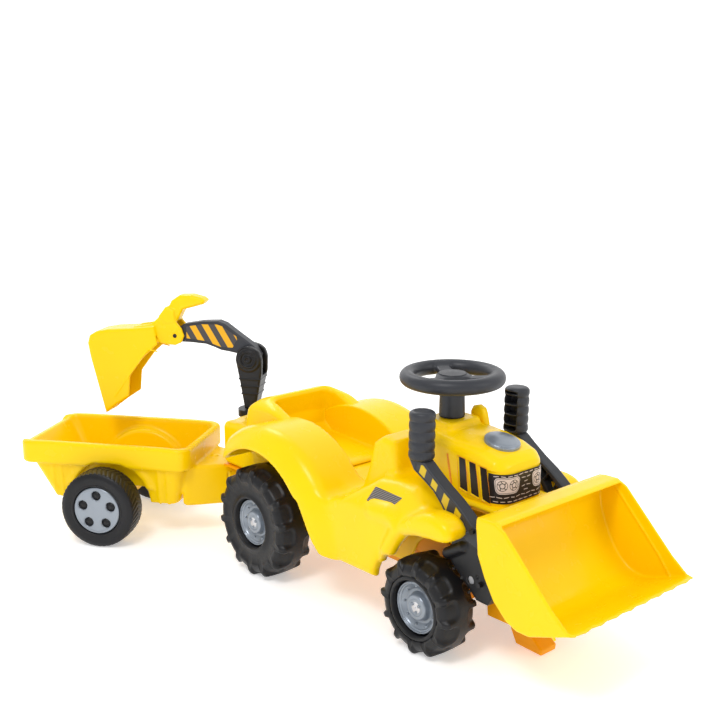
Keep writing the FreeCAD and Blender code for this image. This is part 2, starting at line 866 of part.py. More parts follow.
def lever(name, x, radius, foot, top):
    """An upright pin with a sideways lever that carries a smaller pin under its end."""
    return joined(name, [
        rod(f"{name}_upright", radius, top - foot, (x, 0, (foot + top) / 2), "z"),
        block(f"{name}_bar", (x - 7.0, 0.0, 104.0), (x + 7.0, lever_length + 7.0, 112.0)),
        rod(f"{name}_boss", 14.0, 8.0, (x, 0, 108.0), "z"),
        rod(f"{name}_pin", link_pin, 12.0, (x, lever_length, 100.0), "z"),
    ])


keep(lever("steering_rod_solid", column_x, axle, 98.0, wheel_z + 3.0), "steering_rod")

link_bar = block("link_bar", (column_x, lever_length - 5.0, 96.5), (wheelbase, lever_length + 5.0, LINK_TOP))
link_eyes = [
    rod(f"link_eye_{count}", 9.0, 7.0, (x, lever_length, 100.0), "z")
    for count, x in enumerate((column_x, wheelbase))
]
link = less("link_cut", joined("link_solid", [link_bar] + link_eyes), [
    rod("link_hole_rear", link_pin + size("running_gap"), 20.0, (column_x, lever_length, 100.0), "z"),
    rod("link_hole_front", link_pin + size("open_pivot_gap"), 20.0, (wheelbase, lever_length, 100.0), "z"),
])
keep(link, "drag_link")

front_height = size("front_radius")
carrier_block = block("carrier_block", (wheelbase - 17.0, -86.0, front_height - 13.0),
                      (wheelbase + 17.0, 86.0, front_height + 13.0))
carrier_solid = joined("carrier_solid", [
    carrier_block,
    lever("carrier_lever", wheelbase, kingpin, front_height + 10.0, 146.0),
    rod("carrier_flange", 26.0, 9.0, (wheelbase, 0, 113.0), "z"),
])
carrier = less("carrier_cut", carrier_solid, [
    rod("front_axle_bore", axle, 300.0, (wheelbase, 0, front_height)),
])
keep(carrier, "front_axle_carrier")

# ---------------------------------------------------------------------------
# Front loader: pivot rod, two arms with grips, stickers, the bucket and its pins
# ---------------------------------------------------------------------------
loader_x = size("loader_x")
loader_z = size("loader_z")
arm_inner = size("arm_inner")
arm_thickness = size("arm_thickness")
arm_outer = arm_inner + arm_thickness
loader_rod = size("loader_rod")
pivot_rod = rod("pivot_rod_solid", loader_rod, arm_outer * 2 - 2.0, (loader_x, 0, loader_z))
keep(pivot_rod, "loader_pivot_rod")

spacers = []
for name, side in SIDES:
    gap = arm_inner - beam_half - 1.0
    middle = (beam_half + 0.4 + gap / 2) * side
    spacer = less(f"spacer_{name}", rod(f"spacer_solid_{name}", 10.0, gap, (loader_x, middle, loader_z)), [
        rod(f"spacer_hole_{name}", loader_rod, gap + 4.0, (loader_x, middle, loader_z)),
    ])
    spacers.append(spacer)
keep(grouped("spacer_group", spacers), "loader_spacers")

UPPER_PIN = (490.0, 218.0)
LOWER_PIN = (506.0, 140.0)
ARM = [
    (356.0, 297.0),
    (384.0, 297.0),
    (427.0, 267.0, 404.0, 283.0),
    (486.0, 226.0, 460.0, 247.0),
    (508.0, 222.0),
    (512.0, 190.0),
    (534.0, 136.0, 520.0, 162.0),
    (520.0, 112.0),
    (498.0, 113.0),
    (478.0, 132.0),
    (446.0, 164.0),
    (437.0, 221.0, 449.0, 194.0),
    (406.0, 257.0, 424.0, 240.0),
    (385.0, 269.0),
    (352.0, 289.0, 366.0, 279.0),
]
STRIPE = [
    (372.0, 289.0),
    (380.0, 288.0),
    (424.0, 262.0, 402.0, 276.0),
    (468.0, 226.0, 446.0, 246.0),
    (450.0, 206.0),
    (440.0, 224.0),
    (408.0, 260.0, 425.0, 243.0),
    (386.0, 274.0),
]
for name, side in SIDES:
    middle = (arm_inner + arm_thickness / 2) * side
    plate = side_pad(f"arm_plate_{name}", ARM, arm_thickness, middle)
    arm = less(f"arm_cut_{name}", plate, [
        rod(f"arm_bore_{name}", loader_rod + size("running_gap"), 60.0, (loader_x, middle, loader_z)),
        rod(f"arm_pin_hole_0_{name}", size("bucket_pin"), 60.0, (UPPER_PIN[0], middle, UPPER_PIN[1])),
        rod(f"arm_pin_hole_1_{name}", size("bucket_pin"), 60.0, (LOWER_PIN[0], middle, LOWER_PIN[1])),
    ])
    keep(arm, f"loader_arm_{name}")
    sticker_middle = (arm_outer + size("sticker_thickness") / 2) * side
    keep(side_pad(f"arm_sticker_shape_{name}", STRIPE, size("sticker_thickness"), sticker_middle),
         f"loader_arm_sticker_{name}")
    grip_radius = size("grip_radius")
    grip_foot = size("grip_foot")
    bulges = 5
    pitch = size("grip_height") / bulges
    grip_outline = [(Size.of(0.0), grip_foot), (grip_radius - 2.0, grip_foot)]
    for count in range(bulges - 1):
        low = grip_foot + pitch * count
        grip_outline.append((float(grip_radius) - 2.0, float(low + pitch),
                             float(grip_radius), float(low + pitch / 2)))
    grip_top = float(grip_foot + size("grip_height"))
    grip_outline.append((8.0, grip_top - 0.5, float(grip_radius) - 3.5, grip_top - 5.0))
    grip_outline.append((0.0, grip_top))
    grip = turned(f"grip_shape_{name}", grip_outline, "z", (size("grip_x"), size("grip_y") * side, 0))
    keep(grip, f"loader_grip_{name}")

bucket_outer = side_pad("bucket_outer", [
    (517.0, 252.0),
    (553.0, 253.0),
    (568.0, 245.0),
    (614.0, 199.0),
    (656.0, 157.0),
    (684.0, 137.0),
    (699.0, 135.0),
    (617.0, 106.0),
    (575.0, 116.0, 595.0, 107.0),
    (533.0, 166.0, 550.0, 138.0),
    (515.5, 231.0, 518.5, 197.0),
], size("bucket_width"))
bucket_hollow = side_pad("bucket_hollow", [
    (521.0, 248.0),
    (720.0, 248.0),
    (720.0, 146.0),
    (617.0, 110.2),
    (577.5, 119.5, 597.0, 111.0),
    (537.0, 168.0, 553.5, 140.5),
    (519.5, 231.0, 522.5, 198.0),
], size("bucket_width") - size("bucket_wall") * 2)
bucket_parts = [less("bucket_scoop", bucket_outer, [bucket_hollow])]
ear_y = arm_outer + size("ear_gap") + size("ear_thickness") / 2
for name, side in SIDES:
    bucket_parts.append(side_pad(f"bucket_ear_{name}", [
        (480.0, 224.0),
        (517.0, 232.0),
        (520.0, 198.0),
        (534.0, 166.0),
        (546.0, 144.0),
        (500.0, 128.0),
        (496.0, 146.0),
        (512.0, 180.0),
        (500.0, 206.0),
        (480.0, 208.0),
    ], size("ear_thickness"), ear_y * side))
bucket_solid = joined("bucket_solid", bucket_parts)
pin_cuts = []
pin_solids = []
for name, side in SIDES:
    for count, spot in enumerate((UPPER_PIN, LOWER_PIN)):
        length = arm_thickness + size("ear_gap") + size("ear_thickness") + 2.0
        middle = (arm_inner + length / 2 - 1.0) * side
        pin_cuts.append(rod(f"ear_hole_{name}_{count}", size("bucket_pin"), length, (spot[0], middle, spot[1])))
        pin_solids.append(rod(f"bucket_pin_{name}_{count}", size("bucket_pin"), length, (spot[0], middle, spot[1])))
keep(less("bucket_cut", bucket_solid, pin_cuts), "loader_bucket")
keep(grouped("bucket_pin_group", pin_solids), "loader_bucket_pins")

# ---------------------------------------------------------------------------
# Rear digging arm, drawn along -X from its post: base, post, boom and bucket
# ---------------------------------------------------------------------------
knuckle = (3.0, float(size("knuckle_z")))
knuckle_radius = float(size("knuckle_radius"))
post_width = size("post_width")
boom_width = size("boom_width")
boom_slot = boom_width + size("fork_gap") * 2
POST_FLOOR = 236.0

socket = rod("digger_socket", 27.0, POST_FLOOR - 222.2, (size("post_x"), 0, (POST_FLOOR + 222.2) / 2), "z")
digger_base = less("digger_base_cut", socket, [
    rod("digger_socket_bore", 12.0 + size("running_gap"), 60.0, (size("post_x"), 0, POST_FLOOR), "z"),
])
keep(digger_base, "digger_base")

post_side = side_pad("post_side", [
    (-14.0, POST_FLOOR + 0.5),
    (14.0, POST_FLOOR + 0.5),
    (30.0, 312.0),
    (knuckle[0] + knuckle_radius, knuckle[1]),
    (knuckle[0] - knuckle_radius, knuckle[1], knuckle[0], knuckle[1] + knuckle_radius),
    (-14.0, 312.0),
], post_width)
post_slot = side_pad("post_slot", [
    (-60.0, 318.0),
    (60.0, 300.0),
    (60.0, 400.0),
    (-60.0, 400.0),
], boom_slot)
post_spigot = rod("post_spigot", 12.0, POST_FLOOR + 2.0 - 223.0, (0, 0, (POST_FLOOR + 2.0 + 223.0) / 2), "z")
post = less("post_cut", joined("post_solid", [post_side, post_spigot]), [
    post_slot,
    rod("post_pin_hole", size("boom_pin"), 100.0, (knuckle[0], 0, knuckle[1])),
])
keep(post, "digger_post", digger_place)

pin_heads = [
    rod(f"knuckle_disc_{name}", 18.0, 4.0, (knuckle[0], (post_width / 2 + 2.0) * side, knuckle[1]))
    for name, side in SIDES
]
boom_pin = joined("boom_pin_solid", pin_heads + [
    rod("boom_pin_shank", size("boom_pin"), post_width, (knuckle[0], 0, knuckle[1])),
])
keep(boom_pin, "digger_boom_pin", digger_place)

pivot = (-float(size("digger_pivot_s")), float(size("digger_pivot_z")))
boom_plate = side_pad("boom_plate", [
    (pivot[0], pivot[1] - 12.0),
    (pivot[0], pivot[1] + 12.0, pivot[0] - 12.0, pivot[1]),
    (-130.0, 403.0),
    (-62.0, 410.0, -96.0, 409.0),
    (-50.0, 406.0),
    (9.0, 366.0),
    (knuckle[0] + 20.0, knuckle[1], 19.0, 356.0),
    (knuckle[0], knuckle[1] - 20.0, knuckle[0] + 14.1, knuckle[1] - 14.1),
    (knuckle[0] - 20.0, knuckle[1], knuckle[0] - 14.1, knuckle[1] - 14.1),
    (-24.0, 351.0),
    (-56.0, 353.0),
    (-85.0, 364.0, -70.0, 360.0),
], boom_width)
boom = less("boom_cut", boom_plate, [
    rod("boom_bore", size("boom_pin") + size("running_gap"), 60.0, (knuckle[0], 0, knuckle[1])),
    rod("boom_far_bore", 4.0, 60.0, (pivot[0], 0, pivot[1])),
])
keep(boom, "digger_boom", digger_place)

far_pin_length = boom_width + 1.6 + size("dipper_plate") * 2
keep(rod("digger_pin_solid", 4.0, far_pin_length, (pivot[0], 0, pivot[1])), "digger_bucket_pin", digger_place)

BOOM_STRIPE = [
    (-128.0, 376.0),
    (-128.0, 399.0),
    (-64.0, 404.0, -96.0, 404.0),
    (-53.0, 401.0),
    (-22.0, 378.0),
    (-30.0, 357.0),
    (-56.0, 358.0),
    (-86.0, 369.0, -71.0, 365.0),
]
stripes = []
for name, side in SIDES:
    middle = (boom_width / 2 + size("sticker_thickness") / 2) * side
    stripes.append(side_pad(f"boom_sticker_{name}", BOOM_STRIPE, size("sticker_thickness"), middle))
stripe_trim = rod("boom_sticker_trim", 27.0, 60.0, (knuckle[0], 0, knuckle[1]))
keep(less("boom_sticker_cut", grouped("boom_sticker_group", stripes), [stripe_trim]),
     "digger_boom_stickers", digger_place)

cheeks = []
for name, side in SIDES:
    middle = (boom_width / 2 + 0.8 + size("dipper_plate") / 2) * side
    cheeks.append(side_pad(f"dipper_cheek_{name}", [
        (-136.0, 366.0),
        (-132.0, 392.0, -129.0, 379.0),
        (-148.0, 404.0),
        (-158.0, 436.0),
        (-196.0, 402.0),
        (-232.0, 392.0),
        (-236.0, 360.0),
        (-186.0, 364.0),
        (-166.0, 362.0),
    ], size("dipper_plate"), middle))
digger_width = size("digger_width")
scoop = side_pad("digger_scoop", [
    (-196.0, 402.0),
    (-230.0, 392.0),
    (-313.0, 383.0),
    (-335.0, 361.0, -329.0, 377.0),
    (-303.0, 216.0),
    (-250.0, 252.0),
    (-244.0, 298.0),
    (-182.0, 364.0),
], digger_width)
scoop_hollow = side_pad("digger_hollow", [
    (-172.0, 366.0),
    (-198.0, 396.0),
    (-230.0, 388.0),
    (-311.0, 379.5),
    (-331.5, 360.0, -325.5, 374.0),
    (-298.0, 196.0),
    (-240.0, 200.0),
    (-172.0, 300.0),
], digger_width - size("digger_wall") * 2)
handle_stem = side_pad("digger_handle", [
    (-162.0, 412.0),
    (-146.0, 412.0),
    (-140.0, 431.0),
    (-90.0, 438.0),
    (-86.0, 452.0, -83.0, 444.0),
    (-120.0, 459.0, -104.0, 459.0),
    (-146.0, 451.0, -136.0, 457.0),
    (-162.0, 430.0, -157.0, 442.0),
], boom_width + 1.6)
digger_bucket = less("digger_bucket_cut", joined("digger_bucket_solid", cheeks + [
    less("digger_scoop_cut", scoop, [scoop_hollow]),
    handle_stem,
]), [
    rod("digger_bucket_bore", 4.0 + size("running_gap"), 80.0, (pivot[0], 0, pivot[1])),
])
keep(digger_bucket, "digger_bucket", digger_place)

# ---------------------------------------------------------------------------
# Trailer, drawn along -X from its hitch pin: bracket, tongue, pin and tub
# ---------------------------------------------------------------------------
hitch_x = size("hitch_x")
hitch_radius = size("hitch_radius")
bracket = less("bracket_cut", block("bracket_block", (-184.0, -30.0, 122.0), (-117.0, 30.0, deck_floor - wall)), [
    rod("bracket_bore", hitch_radius + size("hitch_gap"), 80.0, (hitch_x, 0, 130.0), "z"),
])
keep(bracket, "hitch_bracket")

tongue = less("tongue_cut", joined("tongue_solid", [
    rod("tongue_eye", 17.0, 12.0, (0, 0, 114.0), "z"),
    block("tongue_bar", (-196.0, -14.0, 108.0), (0.0, 14.0, 120.0)),
    block("tongue_foot", (-196.0, -34.0, 96.0), (-164.0, 34.0, 108.0)),
]), [
    rod("tongue_bore", hitch_radius, 60.0, (0, 0, 114.0), "z"),
])
keep(tongue, "trailer_tongue", trailer_place)

hitch_pin = joined("hitch_pin_solid", [
    rod("hitch_pin_shank", hitch_radius, 38.0, (0, 0, 125.0), "z"),
    rod("hitch_pin_head", 12.0, 5.0, (0, 0, 105.5), "z"),
])
keep(hitch_pin, "hitch_pin", trailer_place)

rim_half = size("trailer_rim_width") / 2
rim_top = size("trailer_rim_top")
rim_base = size("trailer_rim_base")
trailer_front = -size("trailer_front")
trailer_rear = -size("trailer_rear")
axle_x = -size("trailer_axle_x")
TUB_FLOOR = 108.0

rim = block("rim", (trailer_rear, -rim_half, rim_base), (trailer_front, rim_half, rim_top))
tub_side = side_pad("tub_side", [
    (-430.0, 72.0),
    (-176.0, 72.0),
    (-158.0, rim_base + 1.0),
    (-478.0, rim_base + 1.0),
], 196.0)
tub_hollow = side_pad("tub_hollow", [
    (-428.0, TUB_FLOOR),
    (-172.0, TUB_FLOOR),
    (trailer_front - 8.0, rim_top + 1.0),
    (trailer_rear + 8.0, rim_top + 1.0),
], 188.0)
under_hollow = side_pad("under_hollow", [
    (-424.0, 60.0),
    (-200.0, 60.0),
    (-200.0, TUB_FLOOR - 4.0),
    (-424.0, TUB_FLOOR - 4.0),
], 188.0)
nose = shared("tub_nose", side_pad("tub_nose_side", [
    (-182.0, 64.0),
    (-54.0, 64.0),
    (-54.0, 126.0),
    (-92.0, 144.0),
    (-182.0, rim_base + 0.5),
], 180.0), plan_pad("tub_nose_plan", [
    (-182.0, -88.0),
    (-54.0, -28.0),
    (-54.0, 28.0),
    (-182.0, 88.0),
], 60.0, 90.0))
nose_hollow = shared("nose_hollow", side_pad("nose_hollow_side", [
    (-175.0, 62.0),
    (-58.0, 62.0),
    (-58.0, 123.5),
    (-93.0, 140.0),
    (-158.5, 142.0),
], 180.0), plan_pad("nose_hollow_plan", [
    (-182.0, -83.5),
    (-58.0, -25.5),
    (-58.0, 25.5),
    (-182.0, 83.5),
], 58.0, 90.0))
knob = rod("tub_knob", 7.0, 9.0, (-124.0, 0, 144.5), "z")
tongue_slot = block("tongue_slot", (-200.0, -34.2, 60.0), (-140.0, 34.2, 120.2))
bar_way = block("bar_way", (-142.0, -14.4, 60.0), (-20.0, 14.4, 120.4))
arches = [
    rod(f"arch_{name}", 82.0, 30.0, (axle_x, 110.0 * side, size("trailer_radius")))
    for name, side in SIDES
]
tub_axle_way = rod("tub_axle_way", axle + 1.0, 300.0, (axle_x, 0, size("trailer_radius")))
tub_solid = joined("tub_solid", [rim, tub_side, nose, knob])
tub = less("tub_cut", tub_solid, [
    tub_hollow,
    under_hollow,
    nose_hollow,
    tongue_slot,
    bar_way,
    tub_axle_way,
] + arches)
axle_block = block("trailer_axle_block", (axle_x - 14.0, -94.0, 62.0), (axle_x + 14.0, 94.0, TUB_FLOOR - 4.0))
axle_carrier = less("trailer_axle_block_cut", axle_block, [
    rod("trailer_axle_bore", axle, 300.0, (axle_x, 0, size("trailer_radius"))),
])
keep(tub, "trailer_tub", trailer_place)
keep(axle_carrier, "trailer_axle_mount", trailer_place)

# ---------------------------------------------------------------------------
# Screws that hold the underbody to the shell, seen from below
# ---------------------------------------------------------------------------
screws = []
for count, x in enumerate((-90.0, 60.0, 200.0)):
    for name, side in SIDES:
        spot = (x, 78.0 * side, deck_floor - wall - 1.5)
        screws.append(rod(f"underbody_screw_{count}_{name}", size("screw_radius"), 3.0, spot, "z"))
keep(grouped("screw_group", screws), "underbody_screws")

# ---------------------------------------------------------------------------
# Checks and export
# ---------------------------------------------------------------------------
doc.recompute()
failed = [item.Name for item in doc.Objects if {"Invalid", "Error"} & set(item.State)]
if failed:
    raise RuntimeError(f"objects that did not recompute: {failed}")

os.makedirs("parts", exist_ok=True)
for item in nodes:
    if item.Shape.isNull() or not item.Shape.isValid():
        raise RuntimeError(f"{item.Label}: null or invalid shape")
    item.Shape.exportStep(f"parts/{item.Label}.step")
print(len(nodes), "sub-parts written")
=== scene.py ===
"""The finish of a toddler's ride-on digger: tractor, front loader, rear digging arm and trailer."""
import json
import math

import bpy
import numpy as np
from mathutils import Matrix, Vector


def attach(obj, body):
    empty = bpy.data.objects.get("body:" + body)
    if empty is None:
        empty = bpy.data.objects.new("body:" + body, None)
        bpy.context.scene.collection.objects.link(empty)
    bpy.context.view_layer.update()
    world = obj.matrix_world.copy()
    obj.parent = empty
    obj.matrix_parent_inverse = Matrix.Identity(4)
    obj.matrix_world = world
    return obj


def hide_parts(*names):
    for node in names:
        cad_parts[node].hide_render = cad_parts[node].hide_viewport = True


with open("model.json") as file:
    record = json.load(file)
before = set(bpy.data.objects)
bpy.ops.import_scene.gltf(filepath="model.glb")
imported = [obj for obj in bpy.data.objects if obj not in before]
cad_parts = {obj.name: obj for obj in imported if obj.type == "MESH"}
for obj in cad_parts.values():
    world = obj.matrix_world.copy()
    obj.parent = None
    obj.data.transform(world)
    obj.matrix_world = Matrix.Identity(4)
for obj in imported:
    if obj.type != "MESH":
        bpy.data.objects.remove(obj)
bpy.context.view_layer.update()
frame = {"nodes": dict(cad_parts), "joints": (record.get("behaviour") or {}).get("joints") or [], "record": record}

# ---------------------------------------------------------------------------
# Places. Each half of the toy is drawn in millimetres about its own origin: the tractor about the
# floor point under its rear axle, the digging arm about its post, the trailer about its hitch pin.
# ---------------------------------------------------------------------------
joints = {joint["name"]: joint for joint in frame["joints"]}
MM = 0.001
SIDES = (("right", -1), ("left", 1))


def place_at(spot, turn=0.0):
    """Millimetres about a spot on the floor, turned about the vertical, to the row frame."""
    floor_spot = Vector((spot[0], spot[1], 0.0))
    return Matrix.Translation(floor_spot) @ Matrix.Rotation(turn, 4, "Z") @ Matrix.Scale(MM, 4)


def turn_of(joint_name):
    """How far a hinge that lies along its body's own Y axis is turned about the vertical."""
    axis = joints[joint_name]["axis"]
    return math.atan2(-axis[0], axis[1])


rear_hub = joints["rear_wheel_spin_right"]["pos_m"]
centre_line = joints["steering_turn"]["pos_m"][1]
tractor = place_at((rear_hub[0], centre_line))
digger = place_at(joints["digger_slew"]["pos_m"], turn_of("digger_boom_lift"))
trailer = place_at(joints["trailer_swing"]["pos_m"], turn_of("trailer_wheel_spin_right"))

# ---------------------------------------------------------------------------
# Camera and studio: a pale floor that curves up into the backdrop, one large soft lamp over the
# front right corner, a weaker one from the left and an even white surround.
# ---------------------------------------------------------------------------
EYE = (1512.3, -1236.8, 820.5)
EYE_TURN = 0.848
EYE_PITCH = 0.228
EYE_ROLL = -0.003
LENS = 54.84

camera = bpy.data.objects.new("camera", bpy.data.cameras.new("camera"))
bpy.context.scene.collection.objects.link(camera)
camera.data.lens = LENS
camera.data.sensor_width = 36.0
camera.data.clip_end = 50.0
ahead = Vector((-math.sin(EYE_TURN) * math.cos(EYE_PITCH),
                math.cos(EYE_TURN) * math.cos(EYE_PITCH),
                -math.sin(EYE_PITCH)))
aside = Vector((math.cos(EYE_TURN), math.sin(EYE_TURN), 0.0))
upward = aside.cross(ahead)
heading = Matrix((aside, upward, -ahead)).transposed().to_4x4()
camera.matrix_world = (Matrix.Translation(tractor @ Vector(EYE)) @ heading
                       @ Matrix.Rotation(EYE_ROLL, 4, "Z"))
bpy.context.scene.camera = camera


class Wire:
    """One value in a material. Arithmetic on it adds the Math nodes that work it out."""

    def __init__(self, shader, socket):
        self.shader = shader
        self.socket = socket

    def sums(self, operation, *values):
        return self.shader.add("ShaderNodeMath", {"operation": operation}, *values)

    def __add__(self, other):
        return self.sums("ADD", self, other)

    def __sub__(self, other):
        return self.sums("SUBTRACT", self, other)

    def __rsub__(self, other):
        return self.sums("SUBTRACT", other, self)

    def __mul__(self, other):
        return self.sums("MULTIPLY", self, other)

    def __truediv__(self, other):
        return self.sums("DIVIDE", self, other)

    def __gt__(self, other):
        return self.sums("GREATER_THAN", self, other)

    def __lt__(self, other):
        return self.sums("LESS_THAN", self, other)

    def __mod__(self, other):
        return self.sums("FLOORED_MODULO", self, other)

    def __abs__(self):
        return self.sums("ABSOLUTE", self)

    __radd__ = __add__
    __rmul__ = __mul__

    def soft_step(self, low, high):
        """0 below low, 1 above high and a smooth rise between them."""
        return self.shader.add("ShaderNodeMapRange", {"interpolation_type": "SMOOTHSTEP"},
                               self, low, high, 0.0, 1.0)


class Finish:
    """A material under construction, with its Principled shader."""

    def __init__(self, name, **constants):
        self.material = bpy.data.materials.new(name)
        self.material.use_nodes = True
        self.tree = self.material.node_tree
        self.shader = self.tree.nodes["Principled BSDF"]
        for socket, value in constants.items():
            self.shader.inputs[socket.replace("_", " ")].default_value = value

    def add(self, kind, settings, *values, output=0, **named):
        """A node: its type, its settings, then its sockets by order or by name."""
        node = self.tree.nodes.new(kind)
        for key, value in settings.items():
            if key == "stops":
                ramp = node.color_ramp.elements
                while len(ramp) < len(value):
                    ramp.new(0.5)
                for stop, (spot, colour) in zip(ramp, value):
                    stop.position = spot
                    stop.color = (*colour, 1.0)
            else:
                setattr(node, key, value)
        for key, value in [*enumerate(values), *named.items()]:
            socket = node.inputs[key if isinstance(key, int) else key.replace("_", " ")]
            if isinstance(value, Wire):
                self.tree.links.new(value.socket, socket)
            else:
                socket.default_value = value
        return Wire(self, node.outputs[output])

    def feed(self, socket, wire):
        """Lead a wire to a socket of the Principled shader."""
        self.tree.links.new(wire.socket, self.shader.inputs[socket.replace("_", " ")])

    def place(self):
        """The point on the piece, in metres, as its three wires."""
        point = self.add("ShaderNodeTexCoord", {}, output=3)
        split = self.add("ShaderNodeSeparateXYZ", {}, point)
        outputs = split.socket.node.outputs
        return point, [Wire(self, outputs[axis]) for axis in range(3)]

    def noise(self, point, scale, detail=3.0):
        """Cloudy values about 0.5; scale is in cycles a metre."""
        return self.add("ShaderNodeTexNoise", {}, Vector=point, Scale=scale, Detail=detail)

    def blend(self, factor, first, second):
        """The colour that runs from first to second as factor goes from 0 to 1."""
        node = self.tree.nodes.new("ShaderNodeMix")
        node.data_type = "RGBA"
        pairs = ((node.inputs[0], factor), (node.inputs[6], first), (node.inputs[7], second))
        for socket, value in pairs:
            if isinstance(value, Wire):
                self.tree.links.new(value.socket, socket)
            else:
                socket.default_value = (*value, 1.0) if isinstance(value, tuple) else value
        return Wire(self, node.outputs[2])

    def bumps(self, height, depth, normal=None):
        """A normal that follows the height; depth is in metres."""
        sockets = {"Height": height, "Strength": 1.0, "Distance": depth}
        if normal is not None:
            sockets["Normal"] = normal
        return self.add("ShaderNodeBump", {}, **sockets)


FLOOR_SIZE = 12.0
FLOOR_BEND = 1.5
BACKDROP = 5.0
floor_profile = [(-FLOOR_SIZE, 0.0), (BACKDROP - FLOOR_BEND, 0.0)]
floor_profile += [(BACKDROP - FLOOR_BEND + FLOOR_BEND * math.sin(a), FLOOR_BEND * (1 - math.cos(a)))
                  for a in np.linspace(0.1, math.pi / 2, 14)]
floor_profile.append((BACKDROP, FLOOR_SIZE))
away = Vector((ahead.x, ahead.y, 0.0)).normalized()
floor_points = [away * run + aside * across + Vector((0, 0, rise))
                for run, rise in floor_profile for across in (-FLOOR_SIZE, FLOOR_SIZE)]
floor_faces = [(2 * i, 2 * i + 1, 2 * i + 3, 2 * i + 2) for i in range(len(floor_profile) - 1)]
floor_mesh = bpy.data.meshes.new("studio_floor")
floor_mesh.from_pydata(floor_points, [], floor_faces)
floor_mesh.shade_smooth()
floor = bpy.data.objects.new("studio_floor", floor_mesh)
bpy.context.scene.collection.objects.link(floor)
paper = Finish("studio_paper", Base_Color=(0.9, 0.9, 0.9, 1.0), Roughness=0.8,
               Emission_Color=(1.0, 1.0, 1.0, 1.0), Emission_Strength=0.38)
floor_mesh.materials.append(paper.material)

world = bpy.data.worlds.new("studio")
bpy.context.scene.world = world
world.use_nodes = True
world.node_tree.nodes["Background"].inputs[0].default_value = (1.0, 1.0, 1.0, 1.0)
world.node_tree.nodes["Background"].inputs[1].default_value = 0.80
bpy.context.scene.view_settings.view_transform = "Standard"


def soft_lamp(name, spot, size, power):
    """A square lamp that looks at the middle of the toy."""
    lamp = bpy.data.objects.new(name, bpy.data.lights.new(name, "AREA"))
    bpy.context.scene.collection.objects.link(lamp)
    lamp.data.size = size
    lamp.data.energy = power
    lamp.location = spot
    lamp.rotation_euler = (Vector((0, 0, 0.2)) - Vector(spot)).to_track_quat("-Z", "Y").to_euler()


soft_lamp("key_lamp", (0.9, -1.6, 2.6), 0.8, 34.0)
soft_lamp("side_lamp", (2.4, 1.2, 1.6), 1.0, 12.0)
soft_lamp("back_lamp", (-2.0, 0.6, 2.4), 0.8, 14.0)

# ---------------------------------------------------------------------------
# The plastics. The yellow is a glossy moulded polyethylene, the greys and blacks are satin, the hubs
# are a pearl silver, the axles bright zinc. A deeper orange copy of the yellow is painted shade for the
# yellow parts that sit in shadow underneath. All carry the faint ripple of their moulds.
# ---------------------------------------------------------------------------


def moulded(name, colour, shade, roughness, ripple, gloss=0.3, metal=0.0):
    """A moulded plastic: cloudy colour, uneven gloss, a fine ripple and scuffed edges."""
    finish = Finish(name, IOR=1.49, Specular_IOR_Level=gloss, Metallic=metal)
    point, _ = finish.place()
    cloud = finish.noise(point, 9.0)
    grain = finish.noise(point, 900.0, 2.0)
    wear = finish.add("ShaderNodeNewGeometry", {}, output=7).soft_step(0.56, 0.68)
    base = finish.blend(cloud.soft_step(0.3, 0.7), colour, shade)
    scuffed = tuple(min(1.0, c * 1.2 + 0.004) for c in colour)
    finish.feed("Base Color", finish.blend(wear * 0.2, base, scuffed))
    finish.feed("Roughness", roughness + (finish.noise(point, 40.0) - 0.5) * 0.10 + wear * 0.08)
    finish.feed("Normal", finish.bumps(grain + finish.noise(point, 60.0) * 4.0, ripple))
    return finish.material


PLASTICS = {
    "yellow_plastic": ((0.93, 0.605, 0.0), (0.91, 0.580, 0.0), 0.26, 0.00006, 0.22),
    # The deeper orange yellow: painted shade for yellow parts that sit in shadow under the tractor.
    "shaded_yellow_plastic": ((0.88, 0.36, 0.0), (0.85, 0.33, 0.0), 0.36, 0.00006, 0.22),
    "dark_grey_plastic": ((0.034, 0.036, 0.043), (0.028, 0.030, 0.036), 0.40, 0.00010),
    "black_plastic": ((0.0085, 0.0085, 0.010), (0.0065, 0.0065, 0.0075), 0.34, 0.00010),
    "tyre_plastic": ((0.0080, 0.0080, 0.0095), (0.0055, 0.0055, 0.0065), 0.38, 0.00014),
    "silver_plastic": ((0.27, 0.30, 0.34), (0.22, 0.25, 0.29), 0.30, 0.00006, 0.5, 0.55),
    "steel": ((0.58, 0.58, 0.60), (0.50, 0.50, 0.52), 0.28, 0.00005, 0.5, 1.0),
    "printed_film": ((0.022, 0.018, 0.016), (0.018, 0.014, 0.013), 0.30, 0.00004),
    "pale_print": ((0.74, 0.64, 0.58), (0.66, 0.54, 0.48), 0.32, 0.00004),
    "orange_print": ((0.86, 0.30, 0.02), (0.76, 0.24, 0.02), 0.34, 0.00004),
}
finishes = {name: moulded(name, *look) for name, look in PLASTICS.items()}
# The underbody, front skid and front axle carrier are yellow parts drawn in the deeper orange, painted shade for
# where they sit in shadow.
SHADED_YELLOW_NODES = ("underbody", "front_skid", "front_axle_carrier")
for entry in frame["record"]["subparts"]:
    node = frame["nodes"][entry["node"]]
    node.data.materials.clear()
    plastic = "shaded_yellow_plastic" if entry["node"] in SHADED_YELLOW_NODES else entry["material_slot"]
    node.data.materials.append(finishes[plastic])

# ---------------------------------------------------------------------------
# Body shell: one hollow blow-moulded piece in yellow, with the deck, both rear wheel arches, the foot
# wells with their step pads and the two front arch lobes all flowing into each other.
# ---------------------------------------------------------------------------


